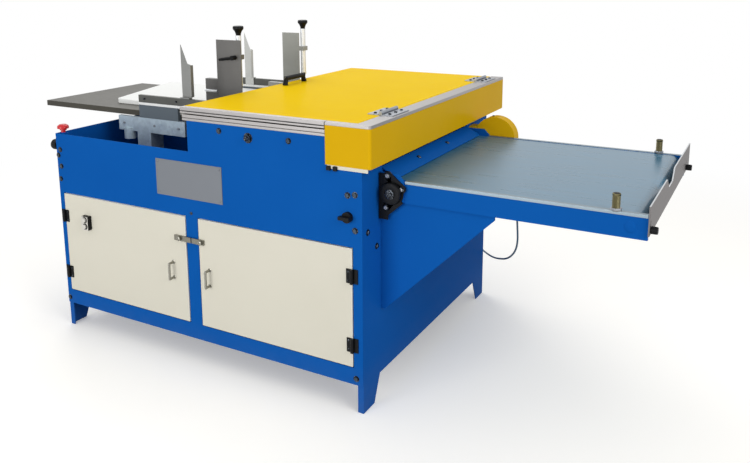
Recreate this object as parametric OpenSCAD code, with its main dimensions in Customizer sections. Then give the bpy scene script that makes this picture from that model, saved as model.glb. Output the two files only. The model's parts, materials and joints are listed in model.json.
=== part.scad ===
// Floor-standing book spine rounding machine: sheet-steel cabinet, hinged lid, stack infeed, outfeed belt.
// Millimetres, +Z up, +X from infeed to outfeed, +Y from front to back.

/* [Cabinet] */
// Length over the outer faces of the two end plates
cab_l = 1260; // [1240:1:1300]
// Depth from the front panel to the rear flanges
cab_d = 1010; // [1000:1:1040]
// Height of the low front edge beside the infeed
low_h = 735; // [715:1:740]
// Height of the front panel under the lid
tall_h = 836; // [834:1:840]
// Distance from the left end to the step in the front panel
step_x = 623; // [615:1:632]
// Thickness of the end plates
plate_t = 4; // [3:0.5:6]
// Thickness of the front and back sheets
panel_t = 3; // [2:0.5:4]
// Width of the flanges folded on the end plates
flange_w = 20; // [12:1:20]
// Width of a foot at the floor
foot_w = 72; // [50:1:100]
// Width of a foot where it joins the end plate
foot_top_w = 108; // [101:1:140]
// Height of the arch between the feet
arch_h = 84; // [60:1:88]
// Height of the lower edge of the front panel
skirt_z = 89; // [85:1:110]

/* [Doors] */
// Width of the post between the doors
post_w = 56; // [56:1:80]
// Height of a door
door_h = 368; // [360:1:400]
// Height of the lower edge of the doors
door_z = 146; // [130:1:160]
// Distance from the left end of the cabinet to the left door
door_left = 24; // [24:1:28]
// Distance from the right end of the cabinet to the right door
door_right = 34; // [30:1:36]
// Depth of the folded door pans
door_t = 16; // [12:1:22]
// Sheet thickness of the door pans
door_sheet = 2; // [1:0.5:3]
// How far the doors stand out of the front panel
door_proud = 2; // [1:0.5:4]
// Gap around a door
door_gap = 3; // [2:0.5:3]
// How far the wire pulls stand off the doors
pull_reach = 22; // [20:1:30]
// Radius of the pull wire
pull_r = 4; // [3:0.5:5]
// Height of a wire pull
pull_h = 54; // [48:1:70]
// Height of the turning door catches
catch_h = 18; // [14:1:20]
// Thickness of the door catches
catch_t = 4; // [3:0.5:5]

/* [Lid and hood] */
// Distance from the left end of the cabinet to the lid's free edge
lid_x = 600; // [600:1:612]
// Height of the lid's top face
lid_z = 880; // [878:1:884]
// Depth of the lid's folded edge and of its front profile
lid_edge = 20; // [16:0.5:21]
// Gap between the closed lid's front profile and the bar under it
lid_gap = 4; // [2:0.5:5]
// Sheet thickness of lid and hood
cover_t = 2.5; // [1.5:0.5:3]
// Depth (front to back) of the lid's front profile and of the bar under it
bar_d = 20; // [16:1:24]
// Rear edge of the lid, from the front panel
lid_d = 1100; // [1090:1:1102]
// Width of the hinge strip on the hood
strip_w = 49; // [44:1:54]
// Thickness of the hinge strip
strip_t = 10; // [6:1:12]
// How far the hood stands out of the right end plate
hood_over = 29; // [24:1:34]
// How far the hood reaches left of the right end of the cabinet
hood_reach = 119; // [110:1:130]
// Height of the hood's lower edge
hood_z = 755; // [748:1:760]
// Rear face of the hood, from the front panel
hood_d = 1109; // [1106:1:1120]
// Length of a lid hinge
hinge_l = 110; // [80:1:130]
// Radius of the lid hinge knuckles
knuckle_r = 6; // [5:0.5:7]
// Distance between the feet of the lid handle
handle_l = 150; // [130:1:170]
// Height of the lid handle
handle_h = 34; // [30:1:45]

/* [Outfeed] */
// Length of the outfeed conveyor past the end plate
conv_l = 745; // [700:1:800]
// Front face of the front rail, from the front panel
conv_y = 108; // [104:1:112]
// Width over the two rails
conv_w = 710; // [690:1:712]
// Height of the belt's top face
belt_z = 702; // [696:1:706]
// Thickness of the belt
belt_t = 3; // [2:0.5:4]
// Radius of the two drums
drum_r = 32; // [28:0.5:34]
// Thickness of the rails
rail_t = 12; // [10:1:14]
// Height of the rails
rail_h = 65; // [60:1:70]
// Height of the end stop plate
stop_h = 78; // [70:1:85]
// Thickness of the end stop plate
stop_t = 4; // [3:0.5:5]
// How far the end stop can be lowered
stop_travel = 20; // [10:1:22]
// Radius of the sensor barrels
sensor_r = 10.5; // [8:0.5:11]
// Height of the sensor barrels
sensor_h = 46; // [40:1:60]

/* [Infeed] */
// How far the table reaches past the left end plate
table_reach = 300; // [280:1:320]
// Front edge of the table, from the front panel
table_y = 214; // [212:1:218]
// Width of the table, front to back
table_w = 526; // [520:1:530]
// Height of the table's top face
table_z = 801; // [798:1:804]
// Thickness of the table
table_t = 21; // [18:1:22]
// Thickness of the slide plate on the table
slide_t = 18; // [14:1:20]
// Thickness of the side rails and their boxes
side_t = 14; // [12:1:16]
// Height of the side rails
side_h = 27; // [22:1:30]
// Thickness of the white strips under the side rails
strip_h = 10; // [6:1:12]
// Height of the corner guides above the side rails
fin_h = 190; // [170:1:210]
// Width of the corner guides
fin_w = 42; // [36:1:50]
// Height of the top edge of the guide plates
guide_top = 1060; // [1040:1:1070]
// Width of the front guide plate
front_guide_w = 110; // [100:1:112]
// Width of the rear guide plate
rear_guide_w = 79; // [70:1:84]
// Radius of the hold-down rods
hold_r = 10; // [8:0.5:11]

/* [Drive] */
// Distance from the left end of the cabinet to the forming rollers
roller_x = 866; // [850:1:890]
// Height of the lower forming roller's axis
roller_z = 754; // [750:1:756]
// Module of the roller gears
gear_m = 2.5; // [2.5:0.05:2.6]
// Teeth on each roller gear
gear_teeth = 20; // [20:1:20]
// Gap between the two forming rollers
nip = 6; // [4:0.5:8]
// Radius of the roller and drum shafts
shaft_r = 10; // [8:0.5:11]
// Radius of the chain sprockets
sprocket_r = 26; // [24:0.5:28]
// Thickness of the drive chain across its links
chain_t = 8; // [6:0.5:9]
// Width of the drive chain
chain_w = 10; // [8:0.5:12]

/* [Fits] */
// Radial clearance of turning and sliding round fits
run_c = 0.08; // [0.05:0.01:0.1]
// Clearance between other moving faces
free_c = 0.4; // [0.3:0.05:0.6]

/* [Hidden] */
$fn = 48;

// Doors and their hardware
door_w = (cab_l - door_left - door_right - post_w) / 2;
door_x = [door_left, cab_l - door_right - door_w];
door_y = -door_proud;
post_x = door_x[0] + door_w + post_w / 2;
pin_r = 3;
hinge_w = 18;
hinge_h = 44;
hinge_leaf = 3;
hinge_dz = [70, 285];
door_knuckle_r = 5;
hinge_axis_y = -hinge_leaf - door_knuckle_r - free_c;
hinge_axis_x = [door_x[0] - door_gap / 2, door_x[1] + door_w + door_gap / 2];
pull_x = [door_x[0] + door_w - 59, door_x[1] + 40];
pull_z = door_z + 147;
catch_z = door_z + 292;
catch_pin_r = 5;
catch_y = [door_y - 2 - catch_t, door_y - 2];
catch_pin_x = [door_x[0] + door_w - 22, door_x[1] + 12];
catch_x = [[catch_pin_x[0] - 23, post_x - 2], [post_x + 2, catch_pin_x[1] + 12]];
switch_x = door_x[0] + 100;
switch_z = door_z + 252;
switch_size = [32, 18, 50];
button_r = 8;
button_y = door_y - switch_size[1];

// Lid, hood and hinge
hood_x = [cab_l - hood_reach, cab_l + hood_over];
hood_top = lid_z - strip_t;
strip_x = [hood_x[1] - strip_w, hood_x[1]];
lid_right = strip_x[0] - 2;
hinge_leaf_t = 3;
axis_x = (lid_right + strip_x[0]) / 2;
axis_z = lid_z + knuckle_r + free_c;
lid_pin_r = 3;
hinge_ys = [150, lid_d - 60 - hinge_l];
leaf_w = 42;
bar_x = [lid_x + 5, hood_x[0] - 2];
bar_top = lid_z - lid_edge - lid_gap;
handle_x = lid_x + 40;
handle_y = 520;

// Outfeed conveyor
conv_x = cab_l + conv_l;
rail_y = [conv_y, conv_y + conv_w - rail_t];
drum_z = belt_z - belt_t - drum_r - free_c;
drum_x = [cab_l + drum_r + belt_t + 10, conv_x - drum_r - belt_t - 7];
belt_y = [conv_y + rail_t + 4, conv_y + conv_w - rail_t - 4];
gusset_t = 6;
gusset_y = [conv_y - gusset_t, conv_y + conv_w];
bearing_w = 20;
bearing_r = 20;
drum_bearing_r = 32;
stop_x = conv_x + 0.5;
stop_y = [conv_y - 8, conv_y + conv_w + 78];
stop_z = belt_z - 52;
stop_pin_r = 3;
stop_knob_r = 9;
stop_knob_l = 18;
stop_knob_z = stop_z + 15;
sensor_x = conv_x - 80;
cable_r = 3.5;

// Infeed table and guides
table_back = table_y + table_w;
side_y = [table_y - side_t, table_back];
side_x = [218, lid_x - 4];
box_x = [218, 405];
box_z = [table_z - 23, table_z + 24];
side_z = [box_z[1] + strip_h, box_z[1] + strip_h + side_h];
bracket_x = [111, 434];
bracket_h = 54;
slide_top = table_z + slide_t;
slide_x = [5, lid_x - 10];
slide_slant = 130;
slide_y = [table_y + 80, table_back - 4];
slot_x = [lid_x - 155, lid_x - 140];
guide_y = [350, 722];
guide_w = [front_guide_w, rear_guide_w];
guide_x = [lid_x - 130, lid_x - 101];
guide_t = 4;
block_h = [96, 40];
hold_dx = [84, 87];
hold_dy = [20, 18];
foot_z = [guide_top - 165, guide_top - 155];
boss_z = [guide_top - 70, guide_top - 53];
fin_x = [418, 296];
fin_z = side_z[1] + free_c;
tab_t = 4;
wing_w = 15;
sheet_t = 3;

// Forming rollers and drive
gear_pitch_r = gear_m * gear_teeth / 2;
roller_zs = [roller_z, roller_z + 2 * gear_pitch_r];
roller_r = gear_pitch_r - nip / 2;
back_y = cab_d - plate_t - panel_t;
chain_y = conv_y + conv_w + gusset_t + bearing_w + 4;
chain_ends = [[roller_x, roller_z], [drum_x[0], drum_z]];
chain_r = sprocket_r + free_c;
gear_y = [back_y - 43, back_y - 28];
motor_y = [chain_y + chain_w + 30, gear_y[0] - 15];
motor_z = roller_z - 39;
gearbox_w = 80;
motor_l = 214;
motor_r = 40;

// Sensor cable: hangs from the rear rail, loops down and goes into the back panel
gland_l = 18;
cable_exit = [cab_l + 192, rail_y[1] + rail_t / 2, belt_z - rail_h - 12];
cable_entry = [cab_l - 76, back_y + panel_t + gland_l, 180];
cable_bends = [[192, -198, 600], [193, -199, 560], [195, -201, 510], [197, -204, 460], [199, -206, 420],
    [201, -206, 388], [202, -203, 358], [201, -196, 328], [196, -185, 300], [186, -170, 272],
    [170, -152, 246], [150, -132, 224], [127, -110, 207], [102, -85, 194], [75, -59, 183],
    [50, -34, 176], [26, -10, 173], [2, 14, 172], [-22, 37, 173], [-32, 44, 174], [-44, 46, 175],
    [-56, 44, 176], [-67, 36, 178], [-74, 26, 179]];
cable_route = [cable_exit, for (b = cable_bends) [cab_l + b[0], cab_d + b[1], b[2]], cable_entry];

// Middle of the part's box, which becomes the origin
box_span_x = [-table_reach, stop_x + stop_t + stop_knob_l];
box_span_y = [min(door_y - pull_reach - pull_r, -26), hood_d];
mid = [(box_span_x[0] + box_span_x[1]) / 2, (box_span_y[0] + box_span_y[1]) / 2, 0];

module at_origin() { translate(-mid) children(); }

// Box between two limits on each axis
module block(x, y, z) {
    translate([x[0], y[0], z[0]]) cube([x[1] - x[0], y[1] - y[0], z[1] - z[0]]);
}

// Round bars along each axis
module bar_along_x(y, z, x, r) {
    translate([x[0], y, z]) rotate([0, 90, 0]) cylinder(h = x[1] - x[0], r = r);
}
module bar_along_y(x, z, y, r) {
    translate([x, y[1], z]) rotate([90, 0, 0]) cylinder(h = y[1] - y[0], r = r);
}
module bar_along_z(x, y, z, r) { translate([x, y, z[0]]) cylinder(h = z[1] - z[0], r = r); }

// Flat outlines stood up: across the machine (X, Z) or along its depth (Y, Z)
module sheet_xz(y) { translate([0, y[1], 0]) rotate([90, 0, 0]) linear_extrude(y[1] - y[0]) children(); }
module sheet_yz(x) { translate([x[0], 0, 0]) rotate([90, 0, 90]) linear_extrude(x[1] - x[0]) children(); }

// Hexagon bolt head standing on a front face
module bolt_head_y(x, z, y, r) {
    translate([x, y, z]) rotate([90, 0, 0]) cylinder(h = 0.7 * r, r = r, $fn = 6);
}

module end_outline(h) {
    y0 = panel_t;
    y1 = cab_d;
    polygon([[y0, 0], [foot_w, 0], [foot_top_w, arch_h], [y1 - foot_top_w, arch_h], [y1 - foot_w, 0], [y1, 0],
        [y1, h], [y0, h]]);
}

// Folded end plate with feet; side 0 is the left end, side 1 the right end
module end_plate(side, h) {
    x = side == 0 ? [0, plate_t] : [cab_l - plate_t, cab_l];
    flange_x = side == 0 ? [0, flange_w] : [cab_l - flange_w, cab_l];
    sheet_yz(x) end_outline(h);
    block(flange_x, [panel_t, panel_t + plate_t], [0, h]);
    block(flange_x, [cab_d - plate_t, cab_d], [0, h]);
}

module left_end_plate() {
    color("royalblue") difference() {
        end_plate(0, low_h);
        bar_along_x(knob_y, knob_z, [-1, plate_t + 1], knob_shaft_r + run_c);
    }
}

module right_end_plate() {
    exit_y = [belt_y[0], belt_y[1]];
    color("royalblue") difference() {
        end_plate(1, tall_h - 2);
        block([cab_l - plate_t - 1, cab_l + 1], exit_y, [belt_z + 33, belt_z + 98]);
        block([cab_l - plate_t - 1, cab_l + 1], [chain_y - 6, chain_y + chain_w + 6],
            [drum_z - 50, drum_z + 60]);
    }
}

module front_panel() {
    color("royalblue") difference() {
        sheet_xz([0, panel_t]) difference() {
            polygon([[0, skirt_z], [cab_l, skirt_z], [cab_l, tall_h], [step_x, tall_h], [step_x, low_h],
                [0, low_h]]);
            for (x = door_x)
                translate([x - door_gap, door_z - door_gap])
                    square([door_w + 2 * door_gap, door_h + 2 * door_gap]);
        }
        bar_along_y(main_switch_x, main_switch_z, [-1, panel_t + 1], main_shaft_r + run_c);
    }
}

// Back sheet folded forward into the cabinet floor
module back_panel() {
    y = [back_y, back_y + panel_t];
    color("royalblue") difference() {
        union() {
            sheet_xz(y) polygon([[plate_t, skirt_z], [cab_l - plate_t, skirt_z],
                [cab_l - plate_t, tall_h - 2], [step_x, tall_h - 2], [step_x, low_h], [plate_t, low_h]]);
            block([flange_w, cab_l - flange_w], [panel_t + plate_t, y[0] + 1], [skirt_z, skirt_z + panel_t]);
        }
        bar_along_y(cable_entry[0], cable_entry[2], [y[0] - 1, y[1] + 1], cable_r + 1);
    }
}

// Triangular bracket that carries the front rail, between the rail and the right end plate
stay_reach = 350;
stay_drop = 342;
stay_t = 6;
module rail_bracket() {
    y = rail_y[0] + rail_t;
    z = belt_z - rail_h;
    color("royalblue") sheet_xz([y - stay_t, y])
        polygon([[cab_l, z - stay_drop], [cab_l, z], [cab_l + stay_reach, z], [cab_l + stay_reach, z - 12],
            [cab_l + 14, z - stay_drop]]);
}

// Sloping plate that leads a book from the exit slot down to the belt
module chute_plate() {
    top = [cab_l, belt_z + 31];
    low = [drum_x[0] + 5, belt_z + 4];
    color("royalblue") sheet_xz(belt_y)
        polygon([top, low, [low[0], low[1] - cover_t], [top[0], top[1] - 2 * cover_t]]);
}

// Fixed bar under the lid's front edge, and hinge strip on the hood
module lid_bars() {
    color("silver") {
        block(bar_x, [0, bar_d - 2], [tall_h, bar_top]);
        block(strip_x, [-cover_t, hood_d], [hood_top, lid_z]);
        block(hood_x, [-cover_t, bar_d - 4], [hood_top, lid_z]);
    }
}

module hood() {
    t = cover_t;
    color("gold") {
        block(hood_x, [-t, 0], [hood_z, hood_top]);
        block(hood_x, [hood_d - t, hood_d], [hood_z, hood_top]);
        block([hood_x[1] - t, hood_x[1]], [-t, hood_d], [hood_z, hood_top]);
        block([strip_x[0], hood_x[1]], [-t, hood_d], [hood_top - t, hood_top]);
        block(hood_x, [-t, bar_d - 4], [hood_top - t, hood_top]);
    }
}

// Fixed leaf, outer knuckles and pin of a lid hinge starting at y
module lid_hinge_base(y) {
    third = hinge_l / 3;
    difference() {
        block([axis_x + free_c, axis_x + leaf_w], [y, y + hinge_l], [lid_z, lid_z + hinge_leaf_t]);
        bar_along_y(axis_x, axis_z, [y + third - free_c, y + 2 * third], knuckle_r + free_c);
    }
    for (k = [0, 2])
        bar_along_y(axis_x, axis_z, [y + k * third, y + (k + 1) * third - (k == 0 ? free_c : 0)], knuckle_r);
    bar_along_y(axis_x, axis_z, [y, y + hinge_l], lid_pin_r);
}

module lid_hinge_bases() { color("lightgray") for (y = hinge_ys) lid_hinge_base(y); }

name_w = 276;
name_x = post_x - name_w / 2 - 5;
name_room = low_h - door_z - door_h;
name_h = 0.552 * name_room;
name_z = door_z + door_h + 0.285 * name_room;
name_t = 2;
module nameplate() {
    color("gainsboro") block([name_x, name_x + name_w], [-name_t, 0], [name_z, name_z + name_h]);
}

// Bolt heads on the front panel, the feet and the end plate
bolt_r = 7;
top_bolts = [[step_x + 131, tall_h - 21], [step_x + 391, tall_h - 26]];
right_bolts = [[cab_l - 47, hood_z - 83], [cab_l - 23, hood_z - 79], [cab_l - 23, hood_z - 185],
    [cab_l - 23, skirt_z + 21]];
left_bolts = [[20, low_h - 59], [9, low_h - 80], [20, low_h - 120], [12, low_h - 168], [10, skirt_z + 21]];
end_bolts = [[32, hood_z - 196], [87, hood_z - 254]];
module panel_bolts() {
    color("silver") {
        for (p = concat(top_bolts, right_bolts, left_bolts)) bolt_head_y(p[0], p[1], 0, bolt_r);
        bolt_head_y(roller_x, roller_zs[1], 0, 2 * bolt_r);
        for (p = end_bolts)
            translate([cab_l, p[0], p[1]]) rotate([0, 90, 0]) cylinder(h = 0.7 * bolt_r, r = bolt_r, $fn = 6);
    }
}

// Frame half of a door hinge: plate on the panel and a knuckle with its pin, side 0 opens left
module door_hinge_base(side, z) {
    out = side == 0 ? -1 : 1;
    x = hinge_axis_x[side];
    near = x + out;
    block([min(near, x + out * hinge_w), max(near, x + out * hinge_w)], [-hinge_leaf, 0], [z, z + hinge_h]);
    block([min(x, x + out * door_knuckle_r), max(x, x + out * door_knuckle_r)], [hinge_axis_y, -hinge_leaf],
        [z, z + hinge_h / 3]);
    bar_along_z(x, hinge_axis_y, [z, z + hinge_h / 3], door_knuckle_r);
    bar_along_z(x, hinge_axis_y, [z, z + hinge_h], pin_r);
}

module door_hinge_bases() {
    color("dimgray") for (side = [0, 1], dz = hinge_dz) door_hinge_base(side, door_z + dz - hinge_h / 2);
}

// Door half of a hinge: leaf on the door and a bored knuckle around the pin
module door_hinge_leaf(side, z) {
    into = side == 0 ? 1 : -1;
    x = hinge_axis_x[side];
    z0 = z + hinge_h / 3 + free_c;
    edge = side == 0 ? door_x[0] : door_x[1] + door_w;
    difference() {
        union() {
            block([min(edge, edge + into * hinge_w), max(edge, edge + into * hinge_w)],
                [door_y - hinge_leaf, door_y], [z, z + hinge_h]);
            block([min(x, x + into * door_knuckle_r), max(x, x + into * door_knuckle_r)],
                [hinge_axis_y, door_y - hinge_leaf + 1], [z0, z + hinge_h]);
            bar_along_z(x, hinge_axis_y, [z0, z + hinge_h], door_knuckle_r);
        }
        bar_along_z(x, hinge_axis_y, [z - 1, z + hinge_h + 1], pin_r + run_c);
        bar_along_z(x, hinge_axis_y, [z - 1, z0], door_knuckle_r + free_c);
    }
}

module door_hinge_leaves(side) {
    color("dimgray") for (dz = hinge_dz) door_hinge_leaf(side, door_z + dz - hinge_h / 2);
}

// Folded door pan, open at the back
module door_pan(side) {
    x = [door_x[side], door_x[side] + door_w];
    y = [door_y, door_y + door_t];
    z = [door_z, door_z + door_h];
    s = door_sheet;
    color("beige") difference() {
        block(x, y, z);
        block([x[0] + s, x[1] - s], [y[0] + s, y[1] + 1], [z[0] + s, z[1] - s]);
        bar_along_y(catch_pin_x[side], catch_z, [y[0] - 1, y[0] + s + 1], catch_pin_r + run_c);
    }
}

// Bent wire pull standing off a door
module door_pull(side) {
    x = pull_x[side];
    y = door_y - pull_reach;
    color("silver") {
        for (z = [pull_z, pull_z + pull_h]) bar_along_y(x, z, [y, door_y], pull_r);
        for (z = [pull_z, pull_z + pull_h]) translate([x, y, z]) sphere(r = pull_r);
        bar_along_z(x, y, [pull_z, pull_z + pull_h], pull_r);
    }
}

module left_door() { door_pan(0); }
module right_door() { door_pan(1); }
module left_door_pull() { door_pull(0); }
module right_door_pull() { door_pull(1); }
module left_hinge_leaves() { door_hinge_leaves(0); }
module right_hinge_leaves() { door_hinge_leaves(1); }

// Two-button starter box on the left door
button_dz = [14, 38];
module switch_box() {
    x = [switch_x, switch_x + switch_size[0]];
    color("whitesmoke") difference() {
        block(x, [button_y, door_y], [switch_z, switch_z + switch_size[2]]);
        for (dz = button_dz)
            bar_along_y(switch_x + switch_size[0] / 2, switch_z + dz, [button_y - 1, button_y + 12],
                button_r + free_c);
    }
}

module button(dz) {
    color("white")
        bar_along_y(switch_x + switch_size[0] / 2, switch_z + dz, [button_y - 5, button_y + 8], button_r);
}
module start_button() { button(button_dz[1]); }
module stop_button() { button(button_dz[0]); }

// Turning catch on a pin through the door, reaching over the centre post
module door_catch(side) {
    x = catch_pin_x[side];
    color("silver") {
        block(catch_x[side], catch_y, [catch_z - catch_h / 2, catch_z + catch_h / 2]);
        bar_along_y(x, catch_z, [catch_y[0] - 4, door_y - free_c], 8);
        bar_along_y(x, catch_z, [door_y - free_c, door_y + door_sheet + 2], catch_pin_r);
    }
}
module left_catch() { door_catch(0); }
module right_catch() { door_catch(1); }

// Emergency stop: box in the front left corner and red mushroom button
estop_at = [plate_t + 14, panel_t + plate_t + 14];
estop_z = low_h + 2;
estop_travel = 6;
module estop_base() {
    color("royalblue") difference() {
        union() {
            block([estop_at[0] - 14, estop_at[0] + 14], [panel_t + plate_t, estop_at[1] + 14],
                [low_h - 40, low_h - 2]);
            bar_along_z(estop_at[0], estop_at[1], [low_h - 2, estop_z], 12);
        }
        bar_along_z(estop_at[0], estop_at[1], [low_h - 30, estop_z + 1], 8 + run_c);
    }
}

module estop_button() {
    z = estop_z + estop_travel + 8;
    color("red") {
        bar_along_z(estop_at[0], estop_at[1], [low_h - 20, z - 6], 8);
        bar_along_z(estop_at[0], estop_at[1], [z - 6, z], 12);
        bar_along_z(estop_at[0], estop_at[1], [z, z + 8], 20);
        translate([estop_at[0], estop_at[1], z + 8]) cylinder(h = 6, r1 = 20, r2 = 13);
    }
}

// Rotary main switch on the front panel
main_switch_x = cab_l - 46;
main_switch_z = low_h - 127;
main_shaft_r = 4;
module main_switch() {
    color("black") {
        bar_along_y(main_switch_x, main_switch_z, [-free_c, panel_t + 12], main_shaft_r);
        bar_along_y(main_switch_x, main_switch_z, [-12, -free_c], 16);
        block([main_switch_x - 20, main_switch_x + 16], [-26, -12], [main_switch_z - 5, main_switch_z + 5]);
    }
}

// Black adjusting knob on the left end plate
knob_y = 26;
knob_z = low_h - 49;
knob_shaft_r = 5;
module side_knob() {
    color("black") {
        bar_along_x(knob_y, knob_z, [-free_c, plate_t + 14], knob_shaft_r);
        bar_along_x(knob_y, knob_z, [-16, -free_c], 12);
        bar_along_x(knob_y, knob_z, [-40, -16], 18);
    }
}

module lid() {
    t = cover_t;
    y = [bar_d - 3, lid_d];
    z = lid_z - lid_edge;
    color("gold") {
        block([lid_x, lid_right], y, [lid_z - t, lid_z]);
        block([lid_x, lid_x + t], y, [z, lid_z]);
        block([lid_x, lid_right], [y[1] - t, y[1]], [z, lid_z]);
    }
}

module lid_profile() {
    color("silver") block([lid_x, bar_x[1]], [-3, bar_d - 3], [lid_z - lid_edge, lid_z]);
}

// Bridge handle on the lid's free edge
module lid_handle() {
    foot = 14;
    color("black") {
        for (y = [handle_y, handle_y + handle_l - foot])
            block([handle_x - 12, handle_x + 12], [y, y + foot], [lid_z, lid_z + handle_h]);
        block([handle_x - 12, handle_x + 12], [handle_y, handle_y + handle_l],
            [lid_z + handle_h - 12, lid_z + handle_h]);
    }
}

// Moving leaf and middle knuckle of a lid hinge starting at y
module lid_hinge_leaf(y) {
    third = hinge_l / 3;
    difference() {
        union() {
            block([axis_x - leaf_w, axis_x - free_c], [y, y + hinge_l], [lid_z, lid_z + hinge_leaf_t]);
            bar_along_y(axis_x, axis_z, [y + third, y + 2 * third - free_c], knuckle_r);
        }
        bar_along_y(axis_x, axis_z, [y - 1, y + hinge_l + 1], lid_pin_r + run_c);
        for (k = [0, 2])
            bar_along_y(axis_x, axis_z, [y + k * third - free_c, y + (k + 1) * third], knuckle_r + free_c);
    }
}

module lid_hinge_leaves() { color("lightgray") for (y = hinge_ys) lid_hinge_leaf(y); }

// Outline of a gear whose teeth are narrowed for running clearance
module gear_outline() {
    root = gear_pitch_r - 1.2 * gear_m;
    tip = gear_pitch_r + 0.8 * gear_m;
    step = 360 / gear_teeth;
    polygon([for (i = [0:gear_teeth - 1], p = [[root, -0.27], [tip, -0.12], [tip, 0.12], [root, 0.27]])
        p[0] * [cos((i + p[1]) * step), sin((i + p[1]) * step)]]);
}

module roller_gear(z, turn) {
    translate([roller_x, gear_y[1], z]) rotate([90, turn, 0])
        linear_extrude(gear_y[1] - gear_y[0]) gear_outline();
}

// Lower forming roller with its gear and the sprocket that drives the belt
module lower_roller() {
    color("dimgray") {
        bar_along_y(roller_x, roller_z, [panel_t + 2, back_y - 1], shaft_r);
        bar_along_y(roller_x, roller_z, [60, chain_y - 30], roller_r);
        bar_along_y(roller_x, roller_z, [chain_y, chain_y + chain_w], sprocket_r);
        roller_gear(roller_zs[0], 0);
    }
}

module upper_roller() {
    color("dimgray") {
        bar_along_y(roller_x, roller_zs[1], [panel_t + 2, back_y - 1], shaft_r);
        bar_along_y(roller_x, roller_zs[1], [60, chain_y - 30], roller_r);
        roller_gear(roller_zs[1], 180 / gear_teeth);
    }
}

// Flange bearing around a shaft, from one face to the other
module bearing(x, z, y, r) {
    difference() {
        bar_along_y(x, z, y, r);
        bar_along_y(x, z, [y[0] - 1, y[1] + 1], shaft_r + run_c);
    }
}

module shaft_bearings() {
    color("black") {
        for (z = roller_zs) {
            bearing(roller_x, z, [panel_t, panel_t + bearing_w], bearing_r);
            bearing(roller_x, z, [back_y - bearing_w, back_y], bearing_r);
        }
        for (y = [gusset_y[0] - bearing_w, gusset_y[1] + gusset_t])
            bearing(drum_x[0], drum_z, [y, y + bearing_w], drum_bearing_r);
    }
}

// Two equal circles joined by a straight band, as a belt or chain runs
module loop_outline(a, b, r) {
    d = b - a;
    translate(a) circle(r = r);
    translate(b) circle(r = r);
    translate(a) rotate(atan2(d[1], d[0])) translate([0, -r]) square([norm(d), 2 * r]);
}

module drive_chain() {
    color("dimgray") sheet_xz([chain_y, chain_y + chain_w]) difference() {
        loop_outline(chain_ends[0], chain_ends[1], chain_r + chain_t);
        loop_outline(chain_ends[0], chain_ends[1], chain_r);
    }
}

// Gearmotor hung on the lower roller's shaft, with a torque arm on the back panel
module gearmotor() {
    box = [roller_x - gearbox_w / 2, roller_x + gearbox_w / 2];
    motor_axis_y = (motor_y[0] + motor_y[1]) / 2;
    color("slategray") difference() {
        union() {
            block(box, motor_y, [motor_z - 45, roller_z + 36]);
            bar_along_x(motor_axis_y, motor_z, [box[1], box[1] + motor_l], motor_r);
            block([box[0] + 14, box[1] - 14], [motor_y[1], back_y], [motor_z - 45, motor_z - 15]);
        }
        bar_along_y(roller_x, roller_z, [motor_y[0] - 1, motor_y[1] + 1], shaft_r + run_c);
    }
}

// Conveyor sides: each a rail with a welded gusset plate, bored for the drums and drilled for the stop knobs
module conveyor_sides() {
    x = cab_l;
    color("royalblue") for (side = [0, 1]) {
        y = rail_y[side];
        gy = gusset_y[side];
        difference() {
            union() {
                block([x, conv_x], [y, y + rail_t], [belt_z - rail_h, belt_z]);
                sheet_xz([gy, gy + gusset_t])
                    polygon([[x, belt_z - 120], [x, belt_z + 22], [x + 60, belt_z + 22], [x + 80, belt_z + 2],
                        [x + 80, belt_z - 62]]);
            }
            bar_along_y(drum_x[0], drum_z, [conv_y - gusset_t - 1, conv_y + conv_w + gusset_t + 1],
                shaft_r + run_c);
            bar_along_y(drum_x[1], drum_z, [y - 1, y + rail_t + 1], shaft_r + run_c);
            bar_along_x(y + rail_t / 2, stop_knob_z, [conv_x - 24, conv_x + 1], stop_pin_r + run_c);
        }
    }
}

module slider_bed() {
    top = belt_z - belt_t - free_c;
    color("lightgray")
        block([drum_x[0] + drum_r + 10, drum_x[1] - drum_r - 10], [rail_y[0] + rail_t, rail_y[1]],
            [top - 8, top]);
}

module conveyor_belt() {
    ends = [for (x = drum_x) [x, drum_z]];
    color("slategray") sheet_xz(belt_y) difference() {
        loop_outline(ends[0], ends[1], drum_r + free_c + belt_t);
        loop_outline(ends[0], ends[1], drum_r + free_c);
    }
}

module drive_drum() {
    color("silver") {
        bar_along_y(drum_x[0], drum_z, [gusset_y[0] - bearing_w - 4, chain_y + chain_w], shaft_r);
        bar_along_y(drum_x[0], drum_z, belt_y, drum_r);
        bar_along_y(drum_x[0], drum_z, [chain_y, chain_y + chain_w], sprocket_r);
    }
}

module idler_drum() {
    color("silver") {
        bar_along_y(drum_x[1], drum_z, [rail_y[0], rail_y[1] + rail_t], shaft_r);
        bar_along_y(drum_x[1], drum_z, belt_y, drum_r);
    }
}

// Rounded guard over the belt's driving sprocket, open below and towards the end plate, cut for the bearing
guard_dx = 98;
guard_r = 76;
guard_z = drum_z - 60;
module guard_outline(wall) {
    translate([cab_l + guard_dx, belt_z - 7]) circle(r = guard_r - wall);
    translate([cab_l, guard_z]) square([guard_dx + guard_r - wall, 67]);
    translate([cab_l, guard_z]) square([guard_dx, 124 - wall]);
}

module drive_guard() {
    y = [gusset_y[1] + gusset_t, chain_y + chain_w + 12];
    color("gold") difference() {
        sheet_xz(y) guard_outline(0);
        sheet_xz([y[0] + cover_t, y[1] - cover_t]) {
            guard_outline(cover_t);
            translate([cab_l - 1, guard_z - 1]) square([1 + guard_dx + guard_r - cover_t, 67]);
            translate([cab_l - 1, guard_z]) square([guard_dx, 124 - cover_t]);
        }
        bar_along_y(drum_x[0], drum_z, [y[0] - 1, y[0] + cover_t + 1], drum_bearing_r + 1);
    }
}

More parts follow.
